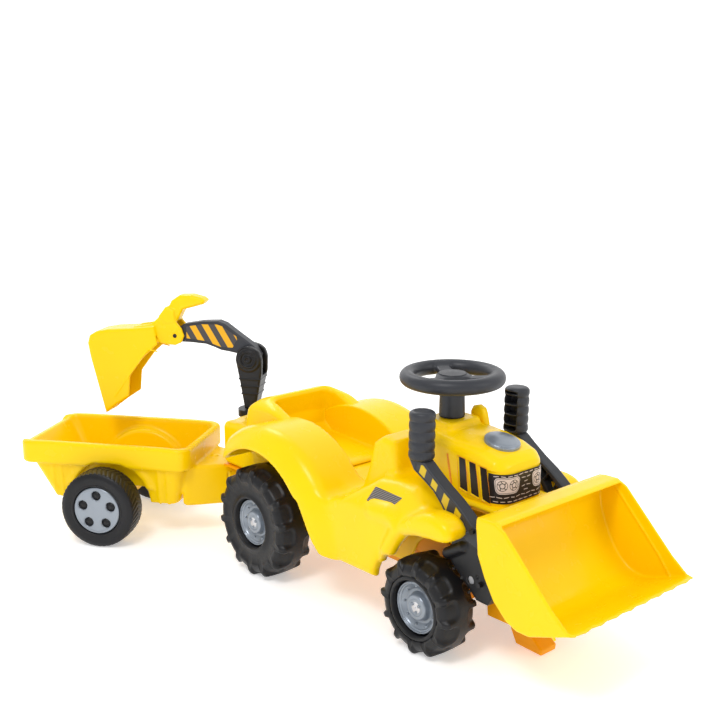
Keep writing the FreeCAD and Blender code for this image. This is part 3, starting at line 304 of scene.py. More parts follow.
def curve(points, closed=True, steps=6):
    """A smooth line through the points, as a list of points."""
    spots = [np.array(point, float) for point in points]
    count = len(spots)
    line = []
    for index in range(count if closed else count - 1):
        if closed:
            before, here, after, beyond = (spots[(index + k) % count] for k in (-1, 0, 1, 2))
        else:
            before, here, after, beyond = (spots[min(max(index + k, 0), count - 1)]
                                           for k in (-1, 0, 1, 2))
        for share in np.arange(steps) / steps:
            line.append(0.5 * (2 * here + (after - before) * share
                               + (2 * before - 5 * here + 4 * after - beyond) * share ** 2
                               + (3 * here - before - 3 * after + beyond) * share ** 3))
    if not closed:
        line.append(spots[-1])
    return line


def outline_depth(u, v, points):
    """Signed distance to a closed outline in a plane: negative inside."""
    nearest = np.inf
    inside = False
    last = points[-1]
    for point in points:
        eu, ev = point[0] - last[0], point[1] - last[1]
        du, dv = u - last[0], v - last[1]
        share = np.clip((du * eu + dv * ev) / (eu * eu + ev * ev), 0, 1)
        nearest = np.minimum(nearest, (du - eu * share) ** 2 + (dv - ev * share) ** 2)
        crosses = (last[1] > v) != (point[1] > v)
        if ev:
            crosses = crosses & (u < last[0] + eu * dv / ev)
        else:
            crosses = crosses & False
        inside = inside ^ crosses
        last = point
    return np.sqrt(nearest) * np.where(inside, -1.0, 1.0)


def meet(first, second, blend=0.0):
    """What two shapes have in common, with a rounded edge."""
    if not blend:
        return np.maximum(first, second)
    share = np.clip(0.5 - 0.5 * (second - first) / blend, 0, 1)
    return second + (first - second) * share + blend * share * (1 - share)


def merge(first, second, blend=0.0):
    """Two shapes as one, with a fillet where they meet."""
    return -meet(-first, -second, blend)


def cut(first, second, blend=0.0):
    """The first shape without the second, with a rounded edge."""
    return meet(first, -second, blend)


def slab(across, low, high):
    """Everything between two parallel planes."""
    return np.maximum(low - across, across - high)


NUDGE = 0.4


def skin(name, shape, low, high, step, place, polish=2):
    """A closed mesh on the surface of a shape given by its signed distance, in millimetres."""
    axes = [np.arange(a, b + step, step) for a, b in zip(low, high)]
    depth = shape(*np.meshgrid(*axes, indexing="ij", sparse=True)).astype(np.float32)
    depth = np.broadcast_to(depth, [len(axis) for axis in axes])
    cells = [n - 1 for n in depth.shape]
    total = np.zeros((*cells, 3), np.float32)
    count = np.zeros(cells, np.int32)
    crossings = []
    for axis in range(3):
        first = np.take(depth, range(depth.shape[axis] - 1), axis)
        second = np.take(depth, range(1, depth.shape[axis]), axis)
        where = np.argwhere((first < 0) != (second < 0))
        inner = [k for k in range(3) if k != axis]
        keep = np.all([(where[:, k] > 0) & (where[:, k] < cells[k]) for k in inner], axis=0)
        where = where[keep]
        start = first[tuple(where.T)]
        share = start / (start - second[tuple(where.T)])
        spot = where.astype(np.float32)
        spot[:, axis] += share
        ring = []
        for back_0, back_1 in ((0, 0), (1, 0), (1, 1), (0, 1)):
            cell = where.copy()
            cell[:, inner[0]] -= back_0
            cell[:, inner[1]] -= back_1
            np.add.at(total, tuple(cell.T), spot)
            np.add.at(count, tuple(cell.T), 1)
            ring.append(cell)
        crossings.append((axis, start < 0, ring))
    used = count > 0
    number = np.full(cells, -1)
    number[used] = np.arange(used.sum())
    points = np.array(low) + step * total[used] / count[used][:, None]
    faces = []
    for axis, leaving, ring in crossings:
        quads = np.stack([number[tuple(cell.T)] for cell in ring], axis=1)
        turned = leaving if axis == 1 else ~leaving
        quads[turned] = quads[turned][:, ::-1]
        faces.append(quads)
    faces = np.concatenate(faces)
    for _ in range(polish):
        gap = shape(*points.T)
        beside = [shape(*(points + NUDGE * np.eye(3)[k]).T) for k in range(3)]
        slope = np.stack([value - gap for value in beside], axis=1) / NUDGE
        size = np.maximum((slope ** 2).sum(axis=1), 0.25)
        move = slope * (gap / size)[:, None]
        points = points - np.clip(move, -step / 2, step / 2)
    mesh = bpy.data.meshes.new(name)
    mesh.from_pydata(points.tolist(), [], faces.tolist())
    return shown(name, mesh, place)


def shown(name, mesh, place):
    """A mesh drawn in millimetres, stood in its place in the row frame and smoothly shaded."""
    mesh.transform(place)
    mesh.validate()
    mesh.shade_smooth()
    item = bpy.data.objects.new(name, mesh)
    bpy.context.scene.collection.objects.link(item)
    return item


def finished(item, body, slot, *nodes, material=None):
    """Give a piece its plastic, its body, and the plain solids that it stands for."""
    item.data.materials.append(material or finishes[slot])
    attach(item, body)
    if nodes:
        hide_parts(*nodes)


ARCH = (12.0, 92.0)
ARCH_RADIUS = 144.0
CREST = (24.0, 92.0)
CREST_RADIUS = 185.0
SILL = 95.0
DECK = [(-232, 150), (-230, 214), (-218, 224), (-192, 234), (-150, 237), (-114, 236), (-100, 206),
        (132, 204), (186, 190), (206, 197), (226, 240), (240, 290), (262, 305), (290, 302), (300, 250),
        (330, 236), (484, 232), (484, 150)]
FOOT = [(180, 92), (303, 92), (306, 106), (318, 132), (344, 158), (376, 184), (424, 198), (430, 214),
        (400, 230), (359, 247), (318, 249), (282, 245), (254, 224), (222, 202), (190, 192), (166, 190)]
LOBE = curve([(320, 124), (336, 158), (362, 184), (398, 196), (440, 196), (466, 200), (477, 213), (464, 230),
              (432, 236), (398, 225), (366, 198), (338, 164)], True, 3)
KNEE = [(300, 203), (330, 206), (346, 203), (354, 191), (350, 176), (340, 150)]


def rod_between(x, y, z, first, second, radius):
    """A round bar with domed ends between two points."""
    run = [b - a for a, b in zip(first, second)]
    length = sum(r * r for r in run)
    along = (x - first[0]) * run[0] + (y - first[1]) * run[1] + (z - first[2]) * run[2]
    share = np.clip(along / length, 0, 1)
    return np.sqrt((x - first[0] - run[0] * share) ** 2 + (y - first[1] - run[1] * share) ** 2
                   + (z - first[2] - run[2] * share) ** 2) - radius


def arch_band(x, y, z):
    """The rear wheel arch as a solid: a crest, a sloping shoulder and a steep outer side."""
    crest = np.hypot(x - CREST[0], z - CREST[1])
    shoulder = 0.84 * (y - 172) + 0.543 * (crest - 150)
    band = meet(meet(y - 172, crest - CREST_RADIUS, 12), shoulder, 16)
    band = meet(band, -88 - x, 8)
    return meet(band, meet(SILL - z, x - 214, 10), 6)


def arch_opening(x, z):
    """The side view of the opening round the rear wheel, which runs out straight in front."""
    circle = np.hypot(x - ARCH[0], z - ARCH[1]) - ARCH_RADIUS
    leg = meet(0.822 * (x - 138) + 0.568 * (z - 163), meet(90 - x, z - 172, 0), 0)
    return merge(circle, leg, 20)


def shell_front(x, y, z):
    """The foot well's side, its sloping shoulder with the step pad, and the front arch's lobe."""
    foot = meet(outline_depth(x, z, FOOT), y - 150, 12)
    foot = meet(foot, 0.70 * (y - 112) + 0.71 * (z - 246), 10)
    lobe = meet(outline_depth(x, z, LOBE), slab(y, 112, 160), 16)
    return merge(foot, lobe, 12)


def body_depth(x, y, z):
    """The whole shell, the same on both sides."""
    y = np.abs(y)
    deck_view = outline_depth(x, z, DECK)
    deck = meet(deck_view, y - 93, 12)
    deck = cut(deck, meet(slab(x, 300, 520), 64 - y, 8), 10)
    deck = cut(deck, meet(x + 192, 46 - y, 10), 14)
    band = arch_band(x, y, z)
    front = shell_front(x, y, z)
    whole = merge(merge(deck, meet(band, 60 - y), 20), meet(front, 60 - y), 14)
    whole = cut(whole, meet(arch_opening(x, z), 97 - y, 4), 5)
    whole = cut(whole, meet(band + 9, 97 - y, 4), 3)
    whole = cut(whole, meet(front + 9, 97 - y, 4), 3)
    whole = cut(whole, meet(slab(x, 192, 470), meet(slab(y, 66, 134), z - 190, 8)), 3)
    knee = 1e3
    for first, second in zip(KNEE, KNEE[1:]):
        ends = [(spot[0], 143, spot[1]) for spot in (first, second)]
        knee = np.minimum(knee, rod_between(x, y, z, *ends, 9))
    whole = merge(whole, knee, 14)
    return cut(whole, meet(deck_view + 8, y - 86, 4), 3)


body = skin("body_shell_skin", body_depth, (-240, -180, 72), (500, 180, 316), 3.5, tractor)
finished(body, "tractor", "yellow_plastic", "body_shell")

PAD = [(284, 125), (347, 127), (335, 146), (283, 144)]
PAD_SLOPE = (0.70, 0.71, 253.06)
PAD_LIFT = 0.7


def ribbed(name):
    """The step pad's film: fine pale lines along a dark ground."""
    finish = Finish(name, IOR=1.49, Specular_IOR_Level=0.3)
    point, (_, _, z) = finish.place()
    line = abs((z / 0.0019 % 1.0) - 0.5).soft_step(0.30, 0.38)
    ground = finish.blend(finish.noise(point, 25.0), (0.035, 0.030, 0.028), (0.060, 0.050, 0.045))
    finish.feed("Base Color", finish.blend(line * 0.8, ground, (0.42, 0.38, 0.35)))
    finish.feed("Roughness", 0.36 + (finish.noise(point, 60.0) - 0.5) * 0.10)
    return finish.material


step_film = ribbed("step_pad_film")
for side_name, side in SIDES:
    corners = [np.array((x, y * side, (PAD_SLOPE[2] - PAD_SLOPE[0] * y) / PAD_SLOPE[1] + PAD_LIFT))
               for x, y in PAD]
    pad_points = [tuple(corners[0] * (1 - a) * (1 - b) + corners[1] * a * (1 - b)
                        + corners[2] * a * b + corners[3] * (1 - a) * b)
                  for a in np.linspace(0, 1, 13) for b in np.linspace(0, 1, 7)]
    pad_faces = [(7 * i + j, 7 * i + j + 1, 7 * i + j + 8, 7 * i + j + 7)
                 for i in range(12) for j in range(6)]
    pad_mesh = bpy.data.meshes.new(f"step_pad_{side_name}")
    pad_mesh.from_pydata(pad_points, [], pad_faces)
    step_pad = shown(f"step_pad_{side_name}", pad_mesh, tractor)
    finished(step_pad, "tractor", "printed_film", material=step_film)

# ---------------------------------------------------------------------------
# Seat: a separate yellow moulding that clips over the deck, with a low back that runs forward and down
# into two side wings, and a dished sitting surface.
# ---------------------------------------------------------------------------
SEAT = [(-112, 204), (-112, 256), (-106, 276), (-88, 296), (-66, 301), (-30, 289), (30, 262), (107, 224),
        (118, 212), (120, 204)]
SEAT_PAN = [(-54, 320), (-64, 290), (-70, 258), (-66, 232), (-46, 219), (20, 216), (140, 214), (140, 320)]


def seat_depth(x, y, z):
    """The seat: a block with its back sloped off at the sides, dished and hollow underneath."""
    y = np.abs(y)
    block = meet(outline_depth(x, z, SEAT), y - 94.5, 9)
    block = meet(block, 0.5 * (y - 70) + 0.866 * (z - 300), 8)
    pan = meet(outline_depth(x, z + y * y * 0.0007, SEAT_PAN), y - 67, 18)
    hollow = meet(block + 5, 6 - pan)
    return cut(cut(block, pan, 10), hollow, 2)


seat = skin("seat_skin", seat_depth, (-120, -100, 198), (128, 100, 308), 3.0, tractor)
finished(seat, "tractor", "yellow_plastic", "seat")

# ---------------------------------------------------------------------------
# Hood: a crowned yellow moulding that narrows to a rounded nose, with a raised pad round the steering
# column, three vent slots in each side and a shallow recess round the nose for the printed grille.
# ---------------------------------------------------------------------------
HOOD = [(297, 228), (297, 322), (303, 327), (353, 326), (404, 322), (440, 316), (466, 307), (480, 296),
        (487, 282), (487, 228)]
NOSE = 487.0
NOSE_CORNER = 27.0
HOOD_HALF = 60.0
NOSE_HALF = 52.0
BROW = 286.0
FLAT = 300.0
VENTS = [(398, 402), (418, 424), (439, 446)]


def hood_plan(x, y):
    """Signed distance to the hood's plan, which narrows towards its rounded nose."""
    half = HOOD_HALF + (NOSE_HALF - HOOD_HALF) * np.clip((x - 380) / (NOSE - 380), 0, 1)
    across = np.abs(y) - half + NOSE_CORNER
    along = x - NOSE + NOSE_CORNER
    corner = np.hypot(np.maximum(across, 0), np.maximum(along, 0))
    return corner + np.minimum(np.maximum(across, along), 0) - NOSE_CORNER


def vent_outline(top, foot):
    """One slot in the side view, leaning a little, given its rear edge above and below."""
    return [(top, 297 - (top - 398) * 0.16), (top + 14, 295 - (top - 398) * 0.16),
            (foot + 16, 243 - (top - 398) * 0.20), (foot, 247 - (top - 398) * 0.20)]


def hood_depth(x, y, z):
    """The hood, with the grille's recess, the column's pad and the vent slots."""
    plan = hood_plan(x, y)
    side = outline_depth(x, z + 0.0022 * y * y, HOOD)
    whole = meet(side, plan, 18)
    band = meet(slab(z, 200, BROW), 452 - x)
    whole = cut(whole, meet(band, -(plan + 2.2)), 2.5)
    pad = meet(meet(slab(x, 296, 361), np.abs(y) - 37, 10), z - 335, 7)
    whole = merge(whole, meet(pad, FLAT - z), 6)
    for top, foot in VENTS:
        slot = meet(outline_depth(x, z, vent_outline(top, foot)), -(plan + 2.0))
        whole = cut(whole, slot, 1.5)
    return whole


hood = skin("hood_skin", hood_depth, (290, -66, 224), (494, 66, 342), 1.6, tractor)
finished(hood, "tractor", "yellow_plastic", "hood")
STUB = [(331, 318), (331, 338), (336, 347), (347, 350), (357, 346), (361, 338), (366, 318)]
stub = skin("hood_stub_skin", lambda x, y, z: meet(outline_depth(x, z, STUB), slab(y, 39, 52), 5),
            (326, 34, 312), (370, 57, 354), 1.5, tractor)
finished(stub, "tractor", "yellow_plastic", "hood_stub")

# ---------------------------------------------------------------------------
# What is fixed to the hood: a printed grille with two lamps that wraps round the nose, dark films in
# the vent slots with thin orange borders, a ribbed orange strip and a domed silver cap.
# ---------------------------------------------------------------------------
FLAT_HALF = 25.0
BEND = NOSE_CORNER * math.pi / 2


def on_nose(along, height, lift):
    """A point on the hood, a distance along its nose from the middle and a lift off its side."""
    side = 1 if along > 0 else -1
    reach = abs(along)
    turn = min(max((reach - FLAT_HALF) / NOSE_CORNER, 0), math.pi / 2)
    back = max(reach - FLAT_HALF - BEND, 0)
    x = NOSE - NOSE_CORNER + NOSE_CORNER * math.cos(turn) - back
    y = side * (min(reach, FLAT_HALF) + NOSE_CORNER * math.sin(turn))
    return on_side(x, y, height, lift)


def on_side(x, y, height, lift):
    """The point beside (x, y) whose distance outside the hood's plan is the lift."""
    for _ in range(4):
        gap = hood_plan(x, y) - lift
        slope_x = (hood_plan(x + 0.1, y) - lift - gap) / 0.1
        slope_y = (hood_plan(x, y + 0.1) - lift - gap) / 0.1
        size = slope_x ** 2 + slope_y ** 2
        x -= slope_x * gap / size
        y -= slope_y * gap / size
    return (x, y, height)


def dense(outline, gap=2.0):
    """The same outline with points no further apart than the gap."""
    line = []
    for first, second in zip(outline, [*outline[1:], outline[0]]):
        first, second = np.array(first, float), np.array(second, float)
        count = int(np.hypot(*(second - first)) / gap) + 1
        line.extend(tuple(first + (second - first) * k / count) for k in range(count))
    return line


def patch(points, faces, outline, spot, rings=5):
    """Add a thin printed shape: rings of points drawn in towards the middle of its outline."""
    outline = dense(outline)
    middle = np.mean(outline, axis=0)
    start = len(points)
    count = len(outline)
    for ring in range(rings):
        share = 1 - ring / rings
        points.extend(spot(*(middle + (np.array(p) - middle) * share)) for p in outline)
    points.append(spot(*middle))
    for ring in range(rings - 1):
        for k in range(count):
            beside = (k + 1) % count
            first = start + ring * count
            faces.append((first + k, first + beside, first + count + beside, first + count + k))
    last = start + (rings - 1) * count
    faces.extend((last + k, last + (k + 1) % count, start + rings * count) for k in range(count))


def border(points, faces, outline, width, spot):
    """Add a thin printed line of even width round an outline."""
    outline = dense(outline)
    middle = np.mean(outline, axis=0)
    start = len(points)
    count = len(outline)
    for grow in (0.0, width):
        for p in outline:
            away = np.array(p) - middle
            points.append(spot(*(np.array(p) + away / np.hypot(*away) * grow)))
    for k in range(count):
        beside = (k + 1) % count
        faces.append((start + k, start + beside, start + count + beside, start + count + k))


def print_on(name, points, faces, slot, body, place, *nodes, material=None):
    """Make one printed film from its points and faces."""
    mesh = bpy.data.meshes.new(name)
    mesh.from_pydata([tuple(float(v) for v in p) for p in points], [], faces)
    item = shown(name, mesh, place)
    finished(item, body, slot, *nodes, material=material)
    return item


def rounded(left, right, low, high, corner, lean=0.0):
    """The outline of a rounded box, its lower edge drawn in by the lean."""
    line = []
    for cx, cz, first in ((right - corner, high - corner, 0), (left + corner, high - corner, 1),
                          (left + corner, low + corner, 2), (right - corner, low + corner, 3)):
        for step in np.linspace(0, 1, 6):
            angle = (first + step) * math.pi / 2
            z = cz + corner * math.sin(angle)
            draw = lean * (high - z) / (high - low)
            middle = (left + right) / 2
            x = cx + corner * math.cos(angle)
            line.append((middle + (x - middle) * (1 - draw), z))
    return line


GRILLE = (-72.0, 72.0, 237.0, 283.5)
LAMPS = ((-62.0, -13.0), (13.0, 62.0))
LAMP_LOW = 252.5
LAMP_HIGH = 278.0
LAMP_MIDDLE = 265.6
points, faces = [], []
columns = np.linspace(GRILLE[0], GRILLE[1], 73)
rows = np.linspace(GRILLE[2], GRILLE[3], 9)
for height in rows:
    points.extend(on_nose(along, height, -1.9) for along in columns)
for row in range(len(rows) - 1):
    for k in range(len(columns) - 1):
        first = row * len(columns) + k
        faces.append((first, first + 1, first + 1 + len(columns), first + len(columns)))
print_on("grille_film", points, faces, "printed_film", "tractor", tractor, "grille_sticker")

points, faces = [], []
for row in range(7):
    height = 240.5 + row * 6.6
    for k in range(-6, 7):
        middle = (k + 0.5 * (row % 2)) * 11.6
        if abs(middle) > 66:
            continue
        near_lamp = any(low - 6 < middle < high + 6 for low, high in LAMPS)
        if near_lamp and LAMP_LOW - 3 < height < LAMP_HIGH + 2:
            continue
        tilt = 0.6 * math.sin(3.1 * k + 1.7 * row)
        length = 4.3 + 0.5 * math.sin(5.0 * k + row)
        left, right = middle - length, middle + length
        dash = [(left, height - tilt - 0.5), (middle, height - 0.6), (right, height + tilt - 0.4),
                (right, height + tilt + 0.5), (middle, height + 0.6), (left, height - tilt + 0.5)]
        patch(points, faces, dash, lambda a, b: on_nose(a, b, -1.72), 2)
for low, high in LAMPS:
    lamp = rounded(low, high, LAMP_LOW, LAMP_HIGH, 8.0, 0.16)
    patch(points, faces, lamp, lambda a, b: on_nose(a, b, -1.72), 8)
print_on("grille_pale_print", points, faces, "printed_film", "tractor", tractor,
         material=finishes["pale_print"])

points, faces = [], []
for low, high in LAMPS:
    rim = rounded(low + 2.0, high - 2.0, LAMP_LOW + 2.0, LAMP_HIGH - 2.0, 6.5, 0.16)
    border(points, faces, rim, 0.7, lambda a, b: on_nose(a, b, -1.6))
    for share in (0.29, 0.71):
        middle = low + (high - low) * share
        for radius, line in ((7.6, 0.9), (3.4, 1.3)):
            ring = [(middle + radius * math.cos(a) * 1.05, LAMP_MIDDLE + radius * math.sin(a))
                    for a in np.linspace(0, 2 * math.pi, 24, endpoint=False)]
            border(points, faces, ring, line, lambda a, b: on_nose(a, b, -1.6))
        for angle in (0.5, 1.6, 2.6, 4.0, 5.3):
            first = np.array((middle + 4.6 * math.cos(angle), LAMP_MIDDLE + 4.6 * math.sin(angle)))
            swept = angle + 0.3
            second = np.array((middle + 7.8 * math.cos(swept), LAMP_MIDDLE + 7.8 * math.sin(swept)))
            broad = np.array((first[1] - second[1], second[0] - first[0])) * 0.16
            patch(points, faces, [first - broad, second - broad, second + broad, first + broad],
                  lambda a, b: on_nose(a, b, -1.55), 1)
print_on("lamp_lines", points, faces, "printed_film", "tractor", tractor)

for side_name, side in SIDES:
    dark_points, dark_faces, line_points, line_faces = [], [], [], []
    for top, foot in VENTS:
        slot = vent_outline(top, foot)
        fine = dense(slot, 4.0)
        middle = np.mean(fine, axis=0)
        small = [tuple(middle + (np.array(p) - middle) * (0.93, 0.98)) for p in fine]
        patch(dark_points, dark_faces, small, lambda a, b: on_side(a, side * 56.0, b, -1.6), 3)
        wide = [tuple(middle + (np.array(p) - middle) * (1.16, 1.035)) for p in fine]
        border(line_points, line_faces, wide, 1.0, lambda a, b: on_side(a, side * 56.0, b, 0.4))
    print_on(f"vent_film_{side_name}", dark_points, dark_faces, "printed_film", "tractor", tractor,
             *(["hood_side_stickers"] if side > 0 else []))
    bead_rows = np.linspace(250.0, 297.0, 95)
    start = len(line_points)
    for height in bead_rows:
        bead = 0.7 + 0.9 * abs(math.sin((height - 250.0) * math.pi / 3.5))
        rear = 388.0 - (height - 250.0) * 0.19
        for share, lift in ((0, 0.0), (0.3, bead), (0.7, bead), (1, 0.0)):
            line_points.append(on_side(rear - 4.0 * share, side * 58.0, height, lift))
    for row in range(len(bead_rows) - 1):
        for k in range(3):
            first = start + row * 4 + k
            line_faces.append((first, first + 1, first + 5, first + 4))
    print_on(f"vent_lines_{side_name}", line_points, line_faces, "printed_film", "tractor", tractor,
             material=finishes["orange_print"])

CAP_TILT = math.radians(13)
CAP_RADIUS = 28.5
cap_place = tractor @ Matrix.Translation((436, 0, 317.5)) @ Matrix.Rotation(CAP_TILT, 4, "Y")


def hood_cap_depth(x, y, z):
    """A domed disc with a ring groove near its edge."""
    reach = np.hypot(x, y)
    dome = meet(reach - CAP_RADIUS, slab(z - 6.5 + 3.6 * (reach / CAP_RADIUS) ** 2, -14, 0), 2.5)
    groove = meet(np.abs(reach - 23.5) - 0.9, 4.2 - z)
    return cut(dome, groove, 1)


hood_cap = skin("hood_cap_skin", hood_cap_depth, (-32, -32, -9), (32, 32, 9), 1.2, cap_place)
finished(hood_cap, "tractor", "silver_plastic", "hood_cap")

# ---------------------------------------------------------------------------
# Tyres: hollow black mouldings. The tractor's have scooped pockets between swept lugs, whose tips make
# a toothed edge round the sidewall; the trailer's are plainer, with fine slanted grooves.
# ---------------------------------------------------------------------------
SHOULDER = 11.0


def lug_relief(angle, across, lugs, pitch, half):
    """How far the tread lies below its crown: rows of scoops that deepen towards the open shoulders."""
    reach = np.abs(across)
    phase = (angle * lugs / (2 * math.pi) + np.where(across > 0, 0.0, 0.5) + 0.12 * reach) % 1.0
    beside = np.abs(phase - 0.5) * pitch - pitch * 0.36 + 9
    within = (0.30 - reach) * half + 9
    outside = np.hypot(np.maximum(beside, 0), np.maximum(within, 0))
    scoop = outside + np.minimum(np.maximum(beside, within), 0) - 9
    deep = np.clip(0.5 - scoop / 5.0, 0, 1)
    deep = deep * deep * (3 - 2 * deep)
    return deep * (2.6 + 7.4 * np.clip((reach - 0.30) / 0.7, 0, 1))


def groove_relief(angle, across, lugs, pitch, half):
    """How far the tread lies below its crown: narrow slanted grooves that stop short of the edges."""
    phase = (angle * lugs / (2 * math.pi) + 1.2 * np.abs(across)) % 1.0
    groove = np.clip(1 - np.abs(phase - 0.5) * pitch / 2.4, 0, 1)
    return 1.8 * groove * (np.abs(across) * half < half - 4)


def tyre(name, radius, width, pocket, lugs, relief, steps):
    """A tyre about the Y axis with its outer face on +Y, swept from its section."""
    half = width / 2
    pitch = 2 * math.pi * radius / lugs
    angles = np.linspace(0, 2 * math.pi, lugs * steps, endpoint=False)
    tread = np.linspace(1, -1, 41)
    turned_in = np.clip((np.abs(tread) - 0.78) / 0.22, 0, 1)
    crown = radius - 2.0 * tread ** 2 - (SHOULDER - 2.0) * turned_in ** 2
    floor = half - 24
    side = [(14, floor), (pocket - 1, floor), (pocket, floor + 1.5), (pocket, half - 2.5),
            (pocket + 1.5, half - 0.8), (pocket + 4, half - 0.6), (pocket + 6, half - 2.4),
            (pocket + 14, half - 3.4), (radius - 27, half - 2.2)]
    shoulder = [(radius - 22, half - 1.0, 0.35), (radius - 17, half - 0.4, 0.7),
                (radius - 13.5, half - 0.2, 0.93)]
    inner = [(radius - 28, -half + 2), (pocket + 12, -half + 3), (pocket + 8, -half + 6),
             (pocket + 7, -half + 16), (14, -half + 16)]
    rings = [[(r, y)] * len(angles) for r, y in side]
    edge = relief(angles, 1.0, lugs, pitch, half)
    rings += [[(r - share * e, y) for e in edge] for r, y, share in shoulder]
    for across, top in zip(tread, crown):
        low = top - relief(angles, across, lugs, pitch, half)
        rings.append([(r, across * half) for r in low])
    edge = relief(angles, -1.0, lugs, pitch, half)
    rings += [[(r - share * e, -y) for e in edge] for r, y, share in reversed(shoulder)]
    rings += [[(r, y)] * len(angles) for r, y in inner]
    points = [(r * math.sin(a), y, r * math.cos(a)) for ring in rings for a, (r, y) in zip(angles, ring)]
    count = len(angles)
    faces = []
    for row in range(len(rings)):
        after = (row + 1) % len(rings)
        for k in range(count):
            beside = (k + 1) % count
            faces.append((row * count + k, row * count + beside,
                          after * count + beside, after * count + k))
    mesh = bpy.data.meshes.new(name)
    mesh.from_pydata(points, [], faces)
    return mesh


def wheel_place(joint_name, side):
    """Millimetres about a wheel's hub, with +Y outwards, to the row frame."""
    joint = joints[joint_name]
    turn = math.atan2(-joint["axis"][0], joint["axis"][1]) + (0 if side > 0 else math.pi)
    return Matrix.Translation(joint["pos_m"]) @ Matrix.Rotation(turn, 4, "Z") @ Matrix.Scale(MM, 4)


# ---------------------------------------------------------------------------
# Hub caps: pearl silver discs pressed into the wheels. The tractor's have a rim ring, a dish with a
# circle of small studs and a raised centre with three bolts; the trailer's are flat, with five windows.
# ---------------------------------------------------------------------------
CAP = [(0, -14), (41, -14), (41.8, -3), (40.8, -0.4), (38.8, -0.2), (37.6, -2.9), (36.0, -3.1),
       (34.8, -5.2), (27.5, -11.2), (23.5, -11.8), (21.6, -9.4), (20.4, -2.2), (18.8, -0.4), (14, 0.2),
       (12.8, -1.1), (0, -0.9)]


WINDOW_RING = 29.5


def around(x, z, count, radius, turn=0.0):
    """Distance from the nearest of a ring of points."""
    angle = np.arctan2(z, x) - turn
    step = 2 * math.pi / count
    off = (angle + step / 2) % step - step / 2
    reach = np.hypot(x, z)
    return np.hypot(reach * np.cos(off) - radius, reach * np.sin(off))


def cap_depth(x, y, z):
    """A tractor wheel's cap, turned from its section, with slots, studs and bolts."""
    shape = outline_depth(np.hypot(x, z), y, CAP)
    studs = meet(around(x, z, 9, 31.5) - 1.8, slab(y, -10, -6.0), 1)
    bolts = meet(around(x, z, 3, 8.0, 0.5) - 2.4, slab(y, -3, 1.1), 1)
    slots = meet(around(x, z, 6, 38.0, 0.3) - 1.5, slab(y, -3, 4))
    return merge(merge(cut(shape, slots, 0.8), studs, 1), bolts, 1)


def flat_cap_depth(x, y, z):
    """A trailer wheel's cap: a flat disc with a raised ring and five round windows."""
    disc = meet(np.hypot(x, z) - 45.6, slab(y, -5, 0.2), 1.6)
    ring = meet(np.abs(np.hypot(x, z) - 42.5) - 1.6, slab(y, -3, 1.0), 1)
    windows = meet(around(x, z, 5, WINDOW_RING, math.pi / 2) - 9.8, slab(y, -1.6, 4))
    return cut(merge(disc, ring, 1), windows, 1.2)


hub_meshes = {
    "tractor": skin("hub_cap", cap_depth, (-43, -14, -43), (43, 4, 43), 0.9, Matrix.Identity(4)),
    "trailer": skin("flat_hub_cap", flat_cap_depth, (-47, -7, -47), (47, 4, 47), 1.0, Matrix.Identity(4)),
}
window_points = []
window_faces = []
for turn in range(5):
    spot = math.pi / 2 + turn * 2 * math.pi / 5
    rim = [(WINDOW_RING * math.cos(spot) + 9.6 * math.cos(a),
            WINDOW_RING * math.sin(spot) + 9.6 * math.sin(a))
           for a in np.linspace(0, 2 * math.pi, 28, endpoint=False)]
    start = len(window_points)
    window_points += [(px, y, pz) for y in (-1.55, -2.4) for px, pz in rim]
    window_faces.append([start + k for k in range(28)])
    window_faces.append([start + 55 - k for k in range(28)])
    for k in range(28):
        beside = (k + 1) % 28
        window_faces.append([start + k, start + 28 + k, start + 28 + beside, start + beside])
window_mesh = bpy.data.meshes.new("hub_window")
window_mesh.from_pydata(window_points, [], window_faces)

WHEELS = (
    ("rear", 100.0, 71.0, 44.5, 14, lug_relief, 20, "tractor"),
    ("front", 77.4, 70.0, 44.5, 12, lug_relief, 20, "tractor"),
    ("trailer", 74.4, 52.0, 47.0, 48, groove_relief, 8, "trailer"),
)
for axle, radius, width, pocket, lugs, relief, steps, cap in WHEELS:
    for side_name, side in SIDES:
        wheel = f"{axle}_wheel_{side_name}"
        stand = wheel_place(f"{axle}_wheel_spin_{side_name}", side)
        tyre_name = f"{axle}_tyre_{side_name}"
        rubber = shown(tyre_name, tyre(tyre_name, radius, width, pocket, lugs, relief, steps), stand)
        finished(rubber, wheel, "tyre_plastic", wheel)
        face = stand @ Matrix.Translation((0, width / 2 - (2.0 if cap == "trailer" else 8.0), 0))
        disc = shown(f"{axle}_hub_disc_{side_name}", hub_meshes[cap].data.copy(), face)
        finished(disc, wheel, "silver_plastic", f"{axle}_hub_cap_{side_name}")
        if cap == "trailer":
            windows = shown(f"{axle}_hub_windows_{side_name}", window_mesh.copy(), face)
            finished(windows, wheel, "black_plastic")
for hub in hub_meshes.values():
    bpy.data.objects.remove(hub)

# ---------------------------------------------------------------------------
# Steering wheel: a dark grey blow-moulded ring with three dished spokes on a stout sleeve.
# ---------------------------------------------------------------------------
column = joints["steering_turn"]["pos_m"]
steering_place = Matrix.Translation(column) @ Matrix.Scale(MM, 4)


def steering_depth(x, y, z):
    """The ring, its three spokes and the hub."""
    reach = np.hypot(x, y)
    ring = np.hypot(reach - 72.5, z * 1.02) - 12.5
    dish = z + 5 - 5 * np.clip((reach - 20) / 45, 0, 1)
    angle = np.arctan2(y, x)
    step = 2 * math.pi / 3
    off = (angle + step / 2 + math.pi / 2) % step - step / 2
    spoke = meet(meet(np.abs(reach * np.sin(off)) - 12, reach - 71, 4), np.abs(dish) - 6, 5)
    spoke = meet(spoke, -reach * np.cos(off), 2)
    hub = meet(reach - 27, np.abs(z + 5) - 10, 6)
    return merge(merge(ring, spoke, 7), hub, 7)


